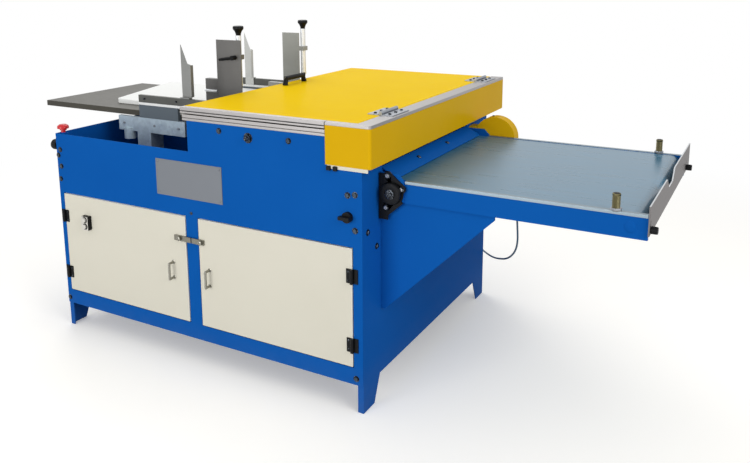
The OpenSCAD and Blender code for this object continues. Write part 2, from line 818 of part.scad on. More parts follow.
module sensor_posts() {
    color("goldenrod") for (y = rail_y)
        bar_along_z(sensor_x, y + rail_t / 2, [belt_z, belt_z + sensor_h], sensor_r);
}

// Thumb cut in the top edge of the stop plate, given as distances from its front end
stop_cut = [283, 324, 400, 437];
stop_cut_h = 33;
module end_stop() {
    z = [stop_z, stop_z + stop_h];
    cut_z = z[1] - stop_cut_h;
    y = stop_y[0];
    color("silver") difference() {
        sheet_yz([stop_x, stop_x + stop_t])
            polygon([[y, z[0]], [stop_y[1], z[0]], [stop_y[1], z[1]], [y + stop_cut[3], z[1]],
                [y + stop_cut[2], cut_z], [y + stop_cut[1], cut_z], [y + stop_cut[0], z[1]], [y, z[1]]]);
        for (ry = rail_y) {
            slot_r = stop_pin_r + free_c;
            slot_y = ry + rail_t / 2;
            for (dz = [0, stop_travel])
                bar_along_x(slot_y, stop_knob_z + dz, [stop_x - 1, stop_x + stop_t + 1], slot_r);
            block([stop_x - 1, stop_x + stop_t + 1], [slot_y - slot_r, slot_y + slot_r],
                [stop_knob_z, stop_knob_z + stop_travel]);
        }
    }
}

module stop_knob(y) {
    x = stop_x + stop_t;
    color("black") {
        bar_along_x(y + rail_t / 2, stop_knob_z, [conv_x - 20, x + free_c], stop_pin_r);
        bar_along_x(y + rail_t / 2, stop_knob_z, [x + free_c, x + stop_knob_l], stop_knob_r);
    }
}
module front_stop_knob() { stop_knob(rail_y[0]); }
module rear_stop_knob() { stop_knob(rail_y[1]); }

module infeed_table() {
    color("dimgray") block([-table_reach, lid_x - 4], [table_y, table_back], [table_z - table_t, table_z]);
}

// White low-friction plate on the table, slotted for the guides, and white strips under the side rails
module slide_plate() {
    x = slide_x[0];
    color("white") for (y = side_y) block(side_x, [y, y + side_t], [box_z[1], side_z[0]]);
    color("white") difference() {
        translate([0, 0, table_z]) linear_extrude(slide_t)
            polygon([[x + 12, slide_y[0]], [slide_x[1], slide_y[0]], [slide_x[1], slide_y[1]],
                [x - slide_slant, slide_y[1]], [x - 3, slide_y[0] + 12]]);
        for (side = [0, 1]) {
            x = guide_slot(side);
            y = side == 0 ? [slide_y[0] - 1, guide_y[0] + 170] : [guide_y[1] - 182, slide_y[1] + 1];
            block(x, y, [table_z - 1, slide_top + 1]);
        }
    }
}

function guide_slot(side) = [slot_x[0] + guide_x[side] - guide_x[0], slot_x[1] + guide_x[side] - guide_x[0]];

module table_boxes() {
    color("slategray") for (y = side_y) block(box_x, [y, y + side_t], box_z);
}

// Light steel brackets under the boxes, each with a round foot and a square post down to the cabinet floor
module table_brackets() {
    z = [box_z[0] - bracket_h, box_z[0]];
    floor_z = skirt_z + panel_t;
    color("lightsteelblue") for (side = [0, 1]) {
        y = side_y[side];
        inner_y = side == 0 ? y + side_t : y;
        post_y = side == 0 ? [inner_y, inner_y + 50] : [inner_y - 50, inner_y];
        block(bracket_x, [y, y + side_t], z);
        block([bracket_x[0] + 92, bracket_x[0] + 158], post_y, [floor_z, z[1] - 20]);
        bar_along_z(bracket_x[0] + 49, y + side_t / 2, [z[0] - 30, z[0] + 10], 22);
        block([bracket_x[0] + 92, bracket_x[0] + 158], [y, y + side_t], [floor_z, z[0]]);
    }
}

module side_rails() {
    color("dimgray") for (y = side_y) block(side_x, [y, y + side_t], side_z);
}

// Corner guide: a bent blade on a tab that hooks over the side rail and slides along it
module fin(side) {
    x = [fin_x[side], fin_x[side] + fin_w];
    rail = side_y[side];
    inner = side == 0 ? rail + side_t + free_c : rail - free_c;
    blade_y = side == 0 ? [inner, inner + sheet_t] : [inner - sheet_t, inner];
    wing_y = side == 0 ? [inner, inner + wing_w] : [inner - wing_w, inner];
    tab_y = side == 0 ? [rail, inner + sheet_t] : [inner - sheet_t, rail + side_t];
    top = side_z[1] + fin_h;
    color("gray") {
        block(x, tab_y, [fin_z, fin_z + tab_t]);
        block(x, blade_y, [fin_z - side_h, fin_z + tab_t]);
        sheet_xz(blade_y) polygon([[x[0], fin_z], [x[1], fin_z], [x[1], top - 70],
            [x[0] + 0.65 * fin_w, top - 66], [x[0], top]]);
        block([x[1] - sheet_t, x[1]], wing_y, [fin_z + tab_t, top - 72]);
    }
}
module front_fin() { fin(0); }
module rear_fin() { fin(1); }

// Guide plate on a foot block whose tongue runs in the slide plate's slot, with a bored boss for the
// hold-down rod
module guide(side) {
    y = guide_y[side];
    x = guide_x[side];
    slot = guide_slot(side);
    plate_y = side == 0 ? [y - guide_t, y] : [y, y + guide_t];
    block_y = side == 0 ? [y, y + 22] : [y - 22, y];
    hold = [x + hold_dx[side], y + hold_dy[side]];
    boss_y = [y, hold[1] + hold_r + 3];
    z = slide_top + free_c;
    color("dimgray") difference() {
        union() {
            block([x, x + guide_w[side]], plate_y, [z + 2, guide_top]);
            block([slot[0] - 35, slot[1] + 20], block_y, [z, z + block_h[side]]);
            block([slot[0] + 0.1, slot[1] - 0.1], block_y, [table_z + 2, z + 10]);
            block([hold[0] - hold_r - 3, hold[0] + hold_r + 3], boss_y, boss_z);
        }
        bar_along_z(hold[0], hold[1], [boss_z[0] - 1, boss_z[1] + 1], hold_r + run_c);
        if (side == 0)
            bar_along_y(hold[0], (boss_z[0] + boss_z[1]) / 2, [plate_y[0] - 1, y + 5], lever_pin_r + run_c);
    }
}
module front_guide() { guide(0); }
module rear_guide() { guide(1); }

// Hold-down rod with a presser foot below and a black knob on top
module hold_rod(side) {
    x = guide_x[side] + hold_dx[side];
    y = guide_y[side] + hold_dy[side];
    top = guide_top + 16;
    color("silver") {
        bar_along_z(x, y, [foot_z[1], top], hold_r);
        bar_along_z(x, y, foot_z, hold_r + 1);
    }
    color("black") {
        translate([x, y, top]) cylinder(h = 20, r1 = 9, r2 = 17);
        bar_along_z(x, y, [top + 20, top + 34], 19);
    }
}
module front_hold_rod() { hold_rod(0); }
module rear_hold_rod() { hold_rod(1); }

// Clamping lever on the front guide plate
lever_pin_r = 4;
module clamp_lever() {
    x = guide_x[0] + hold_dx[0];
    y = guide_y[0] - guide_t - free_c;
    z = (boss_z[0] + boss_z[1]) / 2;
    color("black") {
        bar_along_y(x, z, [y - 20, y], 8);
        bar_along_y(x, z, [y, guide_y[0] + 4], lever_pin_r);
        translate([x, y - 14, z]) rotate([0, -98, 0]) cylinder(h = 60, r = 5);
    }
}

// Glands where the sensor cable leaves the rear rail and enters the back panel
module cable_glands() {
    color("dimgray") {
        bar_along_z(cable_exit[0], cable_exit[1], [cable_exit[2], belt_z - rail_h], 9);
        bar_along_y(cable_entry[0], cable_entry[2], [back_y + panel_t, cable_entry[1]], 11);
    }
}

// Tube swept along a route: eight-sided rings square to the local direction
function unit(v) = v / norm(v);
function ring(route, i, r) =
    let (last = len(route) - 1,
        along = unit(i == 0 ? [0, 0, -1] : i == last ? [0, -1, 0] : route[i + 1] - route[i - 1]),
        side = unit(cross(along, [0.7, 0.7, 0.1])),
        up = cross(side, along))
    [for (k = [0:7]) route[i] + r * (cos(45 * k) * side + sin(45 * k) * up)];

module sensor_cable() {
    n = len(cable_route);
    rings = [for (i = [0:n - 1]) each ring(cable_route, i, cable_r)];
    sides = [for (i = [0:n - 2], k = [0:7]) [8 * i + k, 8 * i + (k + 1) % 8, 8 * i + 8 + (k + 1) % 8,
        8 * i + 8 + k]];
    ends = [[for (k = [7:-1:0]) k], [for (k = [0:7]) 8 * (n - 1) + k]];
    color("dimgray") polyhedron(rings, concat(sides, ends));
}

at_origin() left_end_plate();
at_origin() right_end_plate();
at_origin() front_panel();
at_origin() back_panel();
at_origin() rail_bracket();
at_origin() chute_plate();
at_origin() lid_bars();
at_origin() hood();
at_origin() lid_hinge_bases();
at_origin() nameplate();
at_origin() panel_bolts();
at_origin() door_hinge_bases();
at_origin() estop_base();
at_origin() gearmotor();
at_origin() shaft_bearings();
at_origin() drive_chain();
at_origin() conveyor_sides();
at_origin() slider_bed();
at_origin() conveyor_belt();
at_origin() drive_guard();
at_origin() sensor_posts();
at_origin() infeed_table();
at_origin() table_boxes();
at_origin() table_brackets();
at_origin() slide_plate();
at_origin() side_rails();
at_origin() cable_glands();
at_origin() sensor_cable();
at_origin() lid();
at_origin() lid_profile();
at_origin() lid_handle();
at_origin() lid_hinge_leaves();
at_origin() left_door();
at_origin() left_door_pull();
at_origin() left_hinge_leaves();
at_origin() switch_box();
at_origin() start_button();
at_origin() stop_button();
at_origin() right_door();
at_origin() right_door_pull();
at_origin() right_hinge_leaves();
at_origin() left_catch();
at_origin() right_catch();
at_origin() estop_button();
at_origin() main_switch();
at_origin() side_knob();
at_origin() lower_roller();
at_origin() upper_roller();
at_origin() drive_drum();
at_origin() idler_drum();
at_origin() front_guide();
at_origin() rear_guide();
at_origin() front_hold_rod();
at_origin() rear_hold_rod();
at_origin() clamp_lever();
at_origin() front_fin();
at_origin() rear_fin();
at_origin() end_stop();
at_origin() front_stop_knob();
at_origin() rear_stop_knob();
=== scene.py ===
import json
import math

import bpy
from mathutils import Matrix, Vector


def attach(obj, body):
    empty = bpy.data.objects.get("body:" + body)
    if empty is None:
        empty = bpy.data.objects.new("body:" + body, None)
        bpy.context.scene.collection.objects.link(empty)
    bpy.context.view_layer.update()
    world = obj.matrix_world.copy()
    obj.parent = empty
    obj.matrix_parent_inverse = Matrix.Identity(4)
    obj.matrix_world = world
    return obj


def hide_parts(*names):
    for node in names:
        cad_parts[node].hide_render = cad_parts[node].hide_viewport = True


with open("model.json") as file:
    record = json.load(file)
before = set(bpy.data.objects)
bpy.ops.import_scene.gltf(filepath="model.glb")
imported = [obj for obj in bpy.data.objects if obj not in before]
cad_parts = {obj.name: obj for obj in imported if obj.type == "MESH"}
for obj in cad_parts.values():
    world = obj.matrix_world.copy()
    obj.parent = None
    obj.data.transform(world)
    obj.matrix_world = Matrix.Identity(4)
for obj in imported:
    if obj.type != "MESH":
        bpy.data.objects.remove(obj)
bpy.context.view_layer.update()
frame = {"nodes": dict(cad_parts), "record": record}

# Camera: a normal lens at head height off the front right corner, its picture cropped from a larger one.
# The shift is that crop: the lens axis meets the picture left of and above its middle.
PICTURE_PX = (750, 463)
FOCAL_PX = 769.4
LENS_AXIS_PX = (350.8, 119.4)
SENSOR_MM = 36.0
CLIP_END_M = 60
CAMERA_YAW, CAMERA_PITCH, CAMERA_ROLL = 2.091, 0.1908, -0.008827
CAMERA_MM = (2270, -1823, 1299)
# Sizes below are millimetres from the cabinet's left end, its front panel and the floor
PLAN_MIDDLE_MM = (863.75, 540.5)


def place(x, y, z):
    """A point of the shared frame, in metres, from millimetres on the machine."""
    return Vector(((x - PLAN_MIDDLE_MM[0]) / 1000, (y - PLAN_MIDDLE_MM[1]) / 1000, z / 1000))


def aim_camera():
    flat = math.cos(CAMERA_PITCH)
    look = Vector((flat * math.cos(CAMERA_YAW), flat * math.sin(CAMERA_YAW), -math.sin(CAMERA_PITCH)))
    level = Vector((math.sin(CAMERA_YAW), -math.cos(CAMERA_YAW), 0))
    up = level.cross(look)
    right = math.cos(CAMERA_ROLL) * level + math.sin(CAMERA_ROLL) * up
    top = math.cos(CAMERA_ROLL) * up - math.sin(CAMERA_ROLL) * level
    turn = Matrix((right, top, -look)).transposed().to_4x4()
    bpy.ops.object.camera_add()
    camera = bpy.context.object
    camera.matrix_world = Matrix.Translation(place(*CAMERA_MM)) @ turn
    camera.data.sensor_width = SENSOR_MM
    camera.data.lens = SENSOR_MM * FOCAL_PX / PICTURE_PX[0]
    camera.data.shift_x = 0.5 - LENS_AXIS_PX[0] / PICTURE_PX[0]
    camera.data.shift_y = (LENS_AXIS_PX[1] - PICTURE_PX[1] / 2) / PICTURE_PX[0]
    camera.data.clip_end = CLIP_END_M
    bpy.context.scene.camera = camera


aim_camera()

# Sensor cable: a round grey-blue PVC lead that hangs from the rear rail and goes back into the cabinet.
# Extruded jacket over a stranded core, held at both ends by a screwed gland.
CABLE_D = 0.007
CABLE_ROUTE_MM = [
    (1452, 812, 625), (1452, 812, 600), (1453, 811, 560), (1455, 809, 510), (1457, 806, 460),
    (1459, 804, 420), (1461, 804, 388), (1462, 807, 358), (1461, 814, 328), (1456, 825, 300),
    (1446, 840, 272), (1430, 858, 246), (1410, 878, 224), (1387, 900, 207), (1362, 925, 194),
    (1335, 951, 183), (1310, 976, 176), (1286, 1000, 173), (1262, 1024, 172), (1238, 1047, 173),
    (1228, 1054, 174), (1216, 1056, 175), (1204, 1054, 176), (1193, 1046, 178), (1186, 1036, 179),
    (1184, 1024, 180)]


def linear(hex_colour):
    """sRGB hex to the linear RGBA that a shader socket takes."""
    parts = [int(hex_colour[i:i + 2], 16) / 255 for i in (1, 3, 5)]
    return [c / 12.92 if c <= 0.04045 else ((c + 0.055) / 1.055) ** 2.4 for c in parts] + [1.0]


def add_node(tree, kind, inputs=None, **settings):
    """One shader node with its settings, and values or links on its inputs."""
    made = tree.nodes.new(kind)
    for key, value in settings.items():
        setattr(made, key, value)
    for key, value in (inputs or {}).items():
        if isinstance(value, bpy.types.NodeSocket):
            tree.links.new(value, made.inputs[key])
        else:
            made.inputs[key].default_value = value
    return made


def new_finish(name, values=None):
    """A material with values on its shader; returns it, its tree, the shader and Object coordinates."""
    finish = bpy.data.materials.new(name)
    finish.use_nodes = True
    tree = finish.node_tree
    shader = tree.nodes["Principled BSDF"]
    for key, value in (values or {}).items():
        shader.inputs[key].default_value = value
    where = add_node(tree, "ShaderNodeTexCoord").outputs["Object"]
    return finish, tree, shader, where


def per_mm(size):
    """Texture scale whose features are about this many millimetres across, in a scene in metres."""
    return 1000 / size


def noise(tree, where, size_mm, detail):
    return add_node(tree, "ShaderNodeTexNoise", {"Vector": where, "Scale": per_mm(size_mm),
                                                 "Detail": detail}).outputs["Fac"]


def blend(tree, factor, shade, colour):
    return add_node(tree, "ShaderNodeMix", {"Factor": factor, "A": shade, "B": colour},
                    data_type="RGBA").outputs["Result"]


def mixed_colour(tree, shader, factor, shade, colour):
    mix = blend(tree, factor, linear(shade), linear(colour))
    tree.links.new(mix, shader.inputs["Base Color"])


def pvc_jacket():
    # Extruded PVC: an even grey-blue with a soft sheen and a faint uneven tone along the lead
    finish, tree, shader, where = new_finish("pvc_jacket", {"Roughness": 0.42})
    mixed_colour(tree, shader, noise(tree, where, 9, 3), "#4A6880", "#5E7E96")
    return finish


def sensor_cable():
    lead = bpy.data.curves.new("sensor_cable_lead", "CURVE")
    lead.dimensions = "3D"
    lead.bevel_depth = CABLE_D / 2
    lead.bevel_resolution = 4
    lead.resolution_u = 6
    lead.use_fill_caps = True
    run = lead.splines.new("BEZIER")
    run.bezier_points.add(len(CABLE_ROUTE_MM) - 1)
    for point, at in zip(run.bezier_points, CABLE_ROUTE_MM):
        point.co = place(*at)
        point.handle_left_type = point.handle_right_type = "AUTO"
    piece = bpy.data.objects.new("sensor_cable_lead", lead)
    bpy.context.collection.objects.link(piece)
    lead.materials.append(pvc_jacket())
    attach(piece, "base")
    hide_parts("sensor_cable")
    steps = zip(CABLE_ROUTE_MM, CABLE_ROUTE_MM[1:])
    length = sum(math.dist(a, b) for a, b in steps) / 1000


sensor_cable()

# Cabinet sheets: folded mild steel, welded at the corners and sprayed with blue machine enamel.
# End plates carry the feet; front and back are bolted to them, the bracket under the front rail is welded on.
BODY_OF = {node: body for body, nodes in frame["record"]["behaviour"]["bodies"].items() for node in nodes}
SMOOTH_BELOW = math.radians(38)
FLAT_BELOW = math.radians(0.6)
WELD_M = 0.00001
DUST, DUST_TOP_M, DUST_SHARE = "#8C8A82", 0.16, 0.16


def select_only(*pieces):
    bpy.ops.object.select_all(action="DESELECT")
    for piece in pieces:
        piece.select_set(True)
    bpy.context.view_layer.objects.active = pieces[0]


def coat(piece, finish):
    piece.data.materials.clear()
    piece.data.materials.append(finish)
    return piece


def recoat(piece, finish, belongs):
    """A second finish on the faces whose middle (mm, machine frame) and normal pass the test."""
    piece.data.materials.append(finish)
    for face in piece.data.polygons:
        x, y, z = face.center * 1000
        if belongs(x + PLAN_MIDDLE_MM[0], y + PLAN_MIDDLE_MM[1], z, face.normal):
            face.material_index = len(piece.data.materials) - 1


def stand_for(piece, node):
    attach(piece, BODY_OF[node])
    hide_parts(node)


def merged_copy(node):
    """The solid of a node as one closed mesh without long many-sided faces, free to be worked on."""
    solid = frame["nodes"][node]
    piece = solid.copy()
    piece.data = solid.data.copy()
    piece.name = piece.data.name = node + "_made"
    piece.parent = None
    piece.matrix_world = Matrix()
    bpy.context.collection.objects.link(piece)
    select_only(piece)
    bpy.ops.object.mode_set(mode="EDIT")
    bpy.ops.mesh.select_all(action="SELECT")
    bpy.ops.mesh.remove_doubles(threshold=WELD_M)
    bpy.ops.mesh.dissolve_limited(angle_limit=FLAT_BELOW)
    bpy.ops.mesh.quads_convert_to_tris(ngon_method="BEAUTY")
    bpy.ops.mesh.tris_convert_to_quads()
    bpy.ops.object.mode_set(mode="OBJECT")
    if piece.data.has_custom_normals:
        bpy.ops.mesh.customdata_custom_splitnormals_clear()
    return piece


def flat_faces(piece):
    """Smooth shading over the roundings alone, so that the large faces stay flat."""
    select_only(piece)
    bpy.ops.object.shade_smooth_by_angle(angle=SMOOTH_BELOW)
    weighing = piece.modifiers.new("weighing", "WEIGHTED_NORMAL")
    weighing.keep_sharp = True
    weighing.use_face_influence = True
    bpy.ops.object.modifier_apply(modifier=weighing.name)


def round_edges(piece, radius_mm, segments=2):
    """Breaks every sharp edge, as a file or a press tool leaves it."""
    rounding = piece.modifiers.new("rounding", "BEVEL")
    rounding.width = radius_mm / 1000
    rounding.segments = segments
    rounding.limit_method = "ANGLE"
    rounding.angle_limit = SMOOTH_BELOW
    rounding.face_strength_mode = "FSTR_ALL"
    rounding.loop_slide = False
    select_only(piece)
    bpy.ops.object.modifier_apply(modifier=rounding.name)
    flat_faces(piece)
    return piece


def shaped(node, finish, radius_mm, segments=2):
    """A node's own form with its edges rounded and its finish on."""
    return coat(round_edges(merged_copy(node), radius_mm, segments), finish)


def joined(name, pieces):
    select_only(*pieces)
    bpy.ops.object.join()
    piece = bpy.context.object
    piece.name = piece.data.name = name
    return piece


def broken_edges(node, finish, radius_mm, segments=2, fixed=()):
    """A piece that is its node's own form, with the small pieces that are fixed to it."""
    piece = shaped(node, finish, radius_mm, segments)
    if fixed:
        piece = joined(node + "_made", [piece, *fixed])
    stand_for(piece, node)
    return piece


def sheen(tree, shader, texture, smooth, rough):
    """Roughness that goes with a texture."""
    span = add_node(tree, "ShaderNodeMapRange", {"Value": texture, "To Min": smooth, "To Max": rough})
    tree.links.new(span.outputs["Result"], shader.inputs["Roughness"])


def relief(tree, shader, texture, strength, depth_mm):
    """A bump that goes with a texture."""
    bump = add_node(tree, "ShaderNodeBump", {"Height": texture, "Strength": strength,
                                             "Distance": depth_mm / 1000})
    tree.links.new(bump.outputs["Normal"], shader.inputs["Normal"])


def product(tree, one, two):
    return add_node(tree, "ShaderNodeMath", {0: one, 1: two}, operation="MULTIPLY").outputs["Value"]


def sprayed_enamel(name, colour, shade, roughness=0.36, specular=0.32, peel_depth=0.06):
    # Two-pack machine enamel: an even colour with slow clouds from the gun, a fine orange peel drawn at 7 mm
    # so that it shows, and a trace of dust low down
    finish, tree, shader, where = new_finish(name, {"Specular IOR Level": specular})
    base = blend(tree, noise(tree, where, 240, 4), linear(shade), linear(colour))
    height = add_node(tree, "ShaderNodeSeparateXYZ", {"Vector": where})
    low = add_node(tree, "ShaderNodeMapRange", {"Value": height.outputs["Z"], "From Max": DUST_TOP_M,
                                                "To Min": DUST_SHARE, "To Max": 0.0})
    specks = noise(tree, where, 35, 6)
    soiled = blend(tree, product(tree, low.outputs["Result"], specks), base, linear(DUST))
    tree.links.new(soiled, shader.inputs["Base Color"])
    sheen(tree, shader, specks, roughness - 0.05, roughness + 0.08)
    relief(tree, shader, noise(tree, where, 7, 1), peel_depth, 0.4)
    return finish


BLUE_ENAMEL = sprayed_enamel("blue_machine_enamel", "#125EB2", "#0E57AA", specular=0.006)
for sheet in ("left_end_plate", "right_end_plate", "front_panel", "back_panel", "rail_bracket"):
    broken_edges(sheet, BLUE_ENAMEL, 0.9)

# Panel bolts: hexagon bolts that hold the panels to the end plates, and a larger nut on the end of the upper
# roller's shaft. Blued heads on washers of black oxide steel.
FRONTWARD, BACKWARD, LEFTWARD, RIGHTWARD, UPWARD = (0, -1, 0), (0, 1, 0), (-1, 0, 0), (1, 0, 0), (0, 0, 1)
BOLT_R, WASHER_R, WASHER_T = 7, 9.5, 1.3
# Height above the panel and share of the radius, from the head's chamfer to the hollow in its top
BOLT_HEAD_STEPS = [(4.1, 1), (4.9, 0.86), (4.9, 0.5), (4.5, 0.42)]
FRONT_BOLTS_MM = [(754, 815), (1014, 810), (1213, 672), (1237, 676), (1237, 570), (1237, 110), (20, 676),
                  (9, 655), (20, 615), (12, 567), (10, 110)]
END_BOLTS_MM = [(1260, 32, 559), (1260, 87, 501)]
POST_SCREW_MM, POST_SCREW_SCALE = (625, 0, 529), 0.55
SHAFT_NUT_MM, SHAFT_NUT_SCALE = (866, 0, 804), 1.7
# Texture scales that draw the lines of a brushed metal out along one axis
BRUSHED_ALONG = {"X": (0.025, 1, 1), "Y": (1, 0.025, 1), "Z": (1, 1, 0.025)}


def turned(name, at_mm, toward, steps, sides=32, finish=None):
    """A lathe form on an axis: steps are (distance along it, radius) in mm, closed at both ends."""
    bpy.ops.object.select_all(action="DESELECT")
    bpy.ops.mesh.primitive_circle_add(vertices=sides, radius=steps[0][1] / 1000, fill_type="NGON")
    piece = bpy.context.object
    bpy.ops.object.mode_set(mode="EDIT")
    bpy.ops.mesh.select_all(action="SELECT")
    bpy.ops.transform.translate(value=(0, 0, steps[0][0] / 1000))
    for (before, old), (after, new) in zip(steps, steps[1:]):
        bpy.ops.mesh.extrude_region_move(TRANSFORM_OT_translate={"value": (0, 0, (after - before) / 1000)})
        if new != old:
            bpy.ops.transform.resize(value=(new / old, new / old, 1), center_override=(0, 0, after / 1000))
    bpy.ops.mesh.select_all(action="SELECT")
    bpy.ops.mesh.normals_make_consistent(inside=False)
    bpy.ops.object.mode_set(mode="OBJECT")
    piece.data.transform(Vector(UPWARD).rotation_difference(Vector(toward)).to_matrix().to_4x4())
    piece.data.transform(Matrix.Translation(place(*at_mm)))
    piece.name = piece.data.name = name
    bpy.ops.object.shade_smooth_by_angle(angle=SMOOTH_BELOW)
    return coat(piece, finish) if finish else piece


def assembled(node, parts, finish=None):
    """The parts as one piece that stands for a node, all in one finish where that is given."""
    piece = joined(node + "_made", parts)
    if finish:
        coat(piece, finish)
    stand_for(piece, node)


def stretched(tree, where, scale, rotation=(0, 0, 0)):
    return add_node(tree, "ShaderNodeMapping", {"Vector": where, "Scale": scale,
                                                "Rotation": rotation}).outputs["Vector"]


def black_oxide():
    # Blackened steel: nearly black, oily sheen, rubbed through to bright metal in specks about 3 mm across
    finish, tree, shader, where = new_finish("black_oxide_steel", {"Metallic": 0.9})
    rub = noise(tree, where, 3, 5)
    worn = add_node(tree, "ShaderNodeMapRange", {"Value": rub, "From Min": 0.5, "From Max": 0.68})
    mixed_colour(tree, shader, worn.outputs["Result"], "#16181C", "#7F8790")
    sheen(tree, shader, rub, 0.42, 0.22)
    return finish


def brushed_metal(name, colour, shade, roughness, along, line_mm=1.5):
    # Drawn or brushed metal: fine parallel lines along one direction, coarser than a real grit so they show
    finish, tree, shader, where = new_finish(name, {"Metallic": 1.0})
    grain = noise(tree, stretched(tree, where, BRUSHED_ALONG[along]), line_mm, 5)
    mixed_colour(tree, shader, grain, shade, colour)
    sheen(tree, shader, grain, roughness - 0.06, roughness + 0.1)
    relief(tree, shader, grain, 0.15, 0.2)
    return finish


BLACK_OXIDE = black_oxide()
BLUED_STEEL = brushed_metal("blued_steel", "#5A6470", "#262B33", 0.24, "Z", 6)


def hexagon_bolt(name, at_mm, toward, scale=1.0):
    washer_r, head_r = WASHER_R * scale, BOLT_R * scale
    steps = [(1, head_r)] + [(height * scale, share * head_r) for height, share in BOLT_HEAD_STEPS]
    return [turned(name + "_washer", at_mm, toward, [(0, washer_r), (WASHER_T, washer_r)], 24, BLACK_OXIDE),
            turned(name, at_mm, toward, steps, 6, BLUED_STEEL)]


def panel_bolts():
    pieces = []
    for x, z in FRONT_BOLTS_MM:
        pieces += hexagon_bolt("front_bolt", (x, 0, z), FRONTWARD)
    for at in END_BOLTS_MM:
        pieces += hexagon_bolt("end_bolt", at, RIGHTWARD)
    pieces += hexagon_bolt("post_screw", POST_SCREW_MM, FRONTWARD, POST_SCREW_SCALE)
    pieces += hexagon_bolt("shaft_nut", SHAFT_NUT_MM, FRONTWARD, SHAFT_NUT_SCALE)
    pieces.append(turned("shaft_end", SHAFT_NUT_MM, FRONTWARD, [(6, 8), (13, 8), (15, 6.5)], 32, BLACK_OXIDE))
    assembled("panel_bolts", pieces)


panel_bolts()

# Nameplate: a sheet of brushed aluminium with a raised border, left bare.
# It is pressed to shape and riveted to the front panel at its corners.
PLATE_X_MM, PLATE_Z_MM, PLATE_T_MM = (482, 758), (577, 699), 2
BORDER_MM, RECESS_MM, RIVET_INSET_MM = 4, 0.8, 9


def slab(name, x, y, z, round_mm=1.0, segments=2, finish=None):
    """A sawn block between two corners in mm with all its edges rounded."""
    low, high = place(x[0], y[0], z[0]), place(x[1], y[1], z[1])
    bpy.ops.object.select_all(action="DESELECT")
    bpy.ops.mesh.primitive_cube_add(size=1, location=(low + high) / 2, scale=high - low)
    bpy.ops.object.transform_apply(location=True, rotation=True, scale=True)
    piece = bpy.context.object
    piece.name = piece.data.name = name
    if round_mm:
        bpy.ops.object.mode_set(mode="EDIT")
        bpy.ops.mesh.select_all(action="SELECT")
        bpy.ops.mesh.bevel(offset=round_mm / 1000, segments=segments, affect="EDGES")
        bpy.ops.object.mode_set(mode="OBJECT")
        flat_faces(piece)
    return coat(piece, finish) if finish else piece


def nameplate():
    plate = slab("nameplate_sheet", PLATE_X_MM, (-PLATE_T_MM, 0), PLATE_Z_MM, 0.5)
    bpy.ops.object.mode_set(mode="EDIT")
    bpy.ops.mesh.select_mode(type="FACE")
    bpy.ops.mesh.select_all(action="DESELECT")
    bpy.ops.object.mode_set(mode="OBJECT")
    max(plate.data.polygons, key=lambda face: face.area * (face.normal.y < -0.9)).select = True
    bpy.ops.object.mode_set(mode="EDIT")
    bpy.ops.mesh.inset(thickness=BORDER_MM / 1000)
    bpy.ops.mesh.inset(thickness=RECESS_MM / 1000, depth=-RECESS_MM / 1000)
    bpy.ops.object.mode_set(mode="OBJECT")
    flat_faces(plate)
    pieces = [plate]
    for x in (PLATE_X_MM[0] + RIVET_INSET_MM, PLATE_X_MM[1] - RIVET_INSET_MM):
        for z in (PLATE_Z_MM[0] + RIVET_INSET_MM, PLATE_Z_MM[1] - RIVET_INSET_MM):
            pieces.append(turned("rivet", (x, 1 - PLATE_T_MM, z), FRONTWARD,
                                 [(0, 3.4), (1, 3.4), (2, 2.4), (2.3, 1)], 16))
    assembled("nameplate", pieces, brushed_metal("brushed_nameplate", "#82868C", "#787C82", 0.66, "X"))


nameplate()

# Floor edges: two strips of blue sheet that close the cabinet floor against the end plates, welded along
# both sides.
FLOOR_EDGE_X_MM = ((3.8, 20.2), (1239.8, 1256.2))
FLOOR_EDGE_Y_MM, FLOOR_EDGE_Z_MM = (7.2, 1002.8), (89.1, 91.9)


def go_with(piece, body):
    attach(piece, body)


floor_edges = [slab("floor_edge", x, FLOOR_EDGE_Y_MM, FLOOR_EDGE_Z_MM, 0) for x in FLOOR_EDGE_X_MM]
go_with(coat(joined("floor_edges", floor_edges), BLUE_ENAMEL), "base")

# Doors: pressed steel pans in cream enamel with rolled rims, hung on black nylon hinges with a steel pin.
# A leaf of each hinge is screwed to the door, the other to the front panel.
HINGE_Z_MM, HINGE_SCREW_DZ_MM, HINGE_FACE_MM = (216, 431), 14, -4.6
HINGE_SCREW_X_MM = {"left_hinge_leaves": 36, "right_hinge_leaves": 1214}


def moulded_plastic(name, colour, shade, roughness, grain_mm=2.5, specular=0.45):
    # Injection-moulded plastic: one colour, a fine spark-eroded grain and a slightly uneven sheen
    finish, tree, shader, where = new_finish(name, {"Specular IOR Level": specular})
    grain = noise(tree, where, grain_mm, 4)
    mixed_colour(tree, shader, grain, shade, colour)
    sheen(tree, shader, grain, roughness - 0.06, roughness + 0.08)
    relief(tree, shader, grain, 0.2, 0.2)
    return finish


CREAM_ENAMEL = sprayed_enamel("cream_enamel", "#E3DFD0", "#DCD8C8", roughness=0.42, specular=0.2)
# A paler cream for the door faces that look up or to the right: a painted highlight along the top and right
# rims.
RIM_PAINTED_HIGHLIGHT = sprayed_enamel("cream_rim_painted_highlight", "#FAF8F0", "#F4F2EA", roughness=0.36, specular=0.3)
BLACK_NYLON = moulded_plastic("black_nylon", "#101114", "#08090A", 0.42, specular=0.16)
# Each door's upward and rightward faces take the paler cream of the painted highlight.
for door in ("left_door", "right_door"):
    recoat(broken_edges(door, CREAM_ENAMEL, 0.7, 3), RIM_PAINTED_HIGHLIGHT,
           lambda x, y, z, normal: max(normal.x, normal.z) > 0.3)


def hinge_screws(leaves):
    screws = [turned("hinge_screw", (HINGE_SCREW_X_MM[leaves], HINGE_FACE_MM, z + dz), FRONTWARD,
                     [(0, 3.2), (0.9, 3.2), (1.5, 2.2), (1.5, 1.2), (0.7, 1.1)], 12)
              for z in HINGE_Z_MM for dz in (-HINGE_SCREW_DZ_MM, HINGE_SCREW_DZ_MM)]
    go_with(coat(joined(leaves + "_screws", screws), BLACK_OXIDE), BODY_OF[leaves])


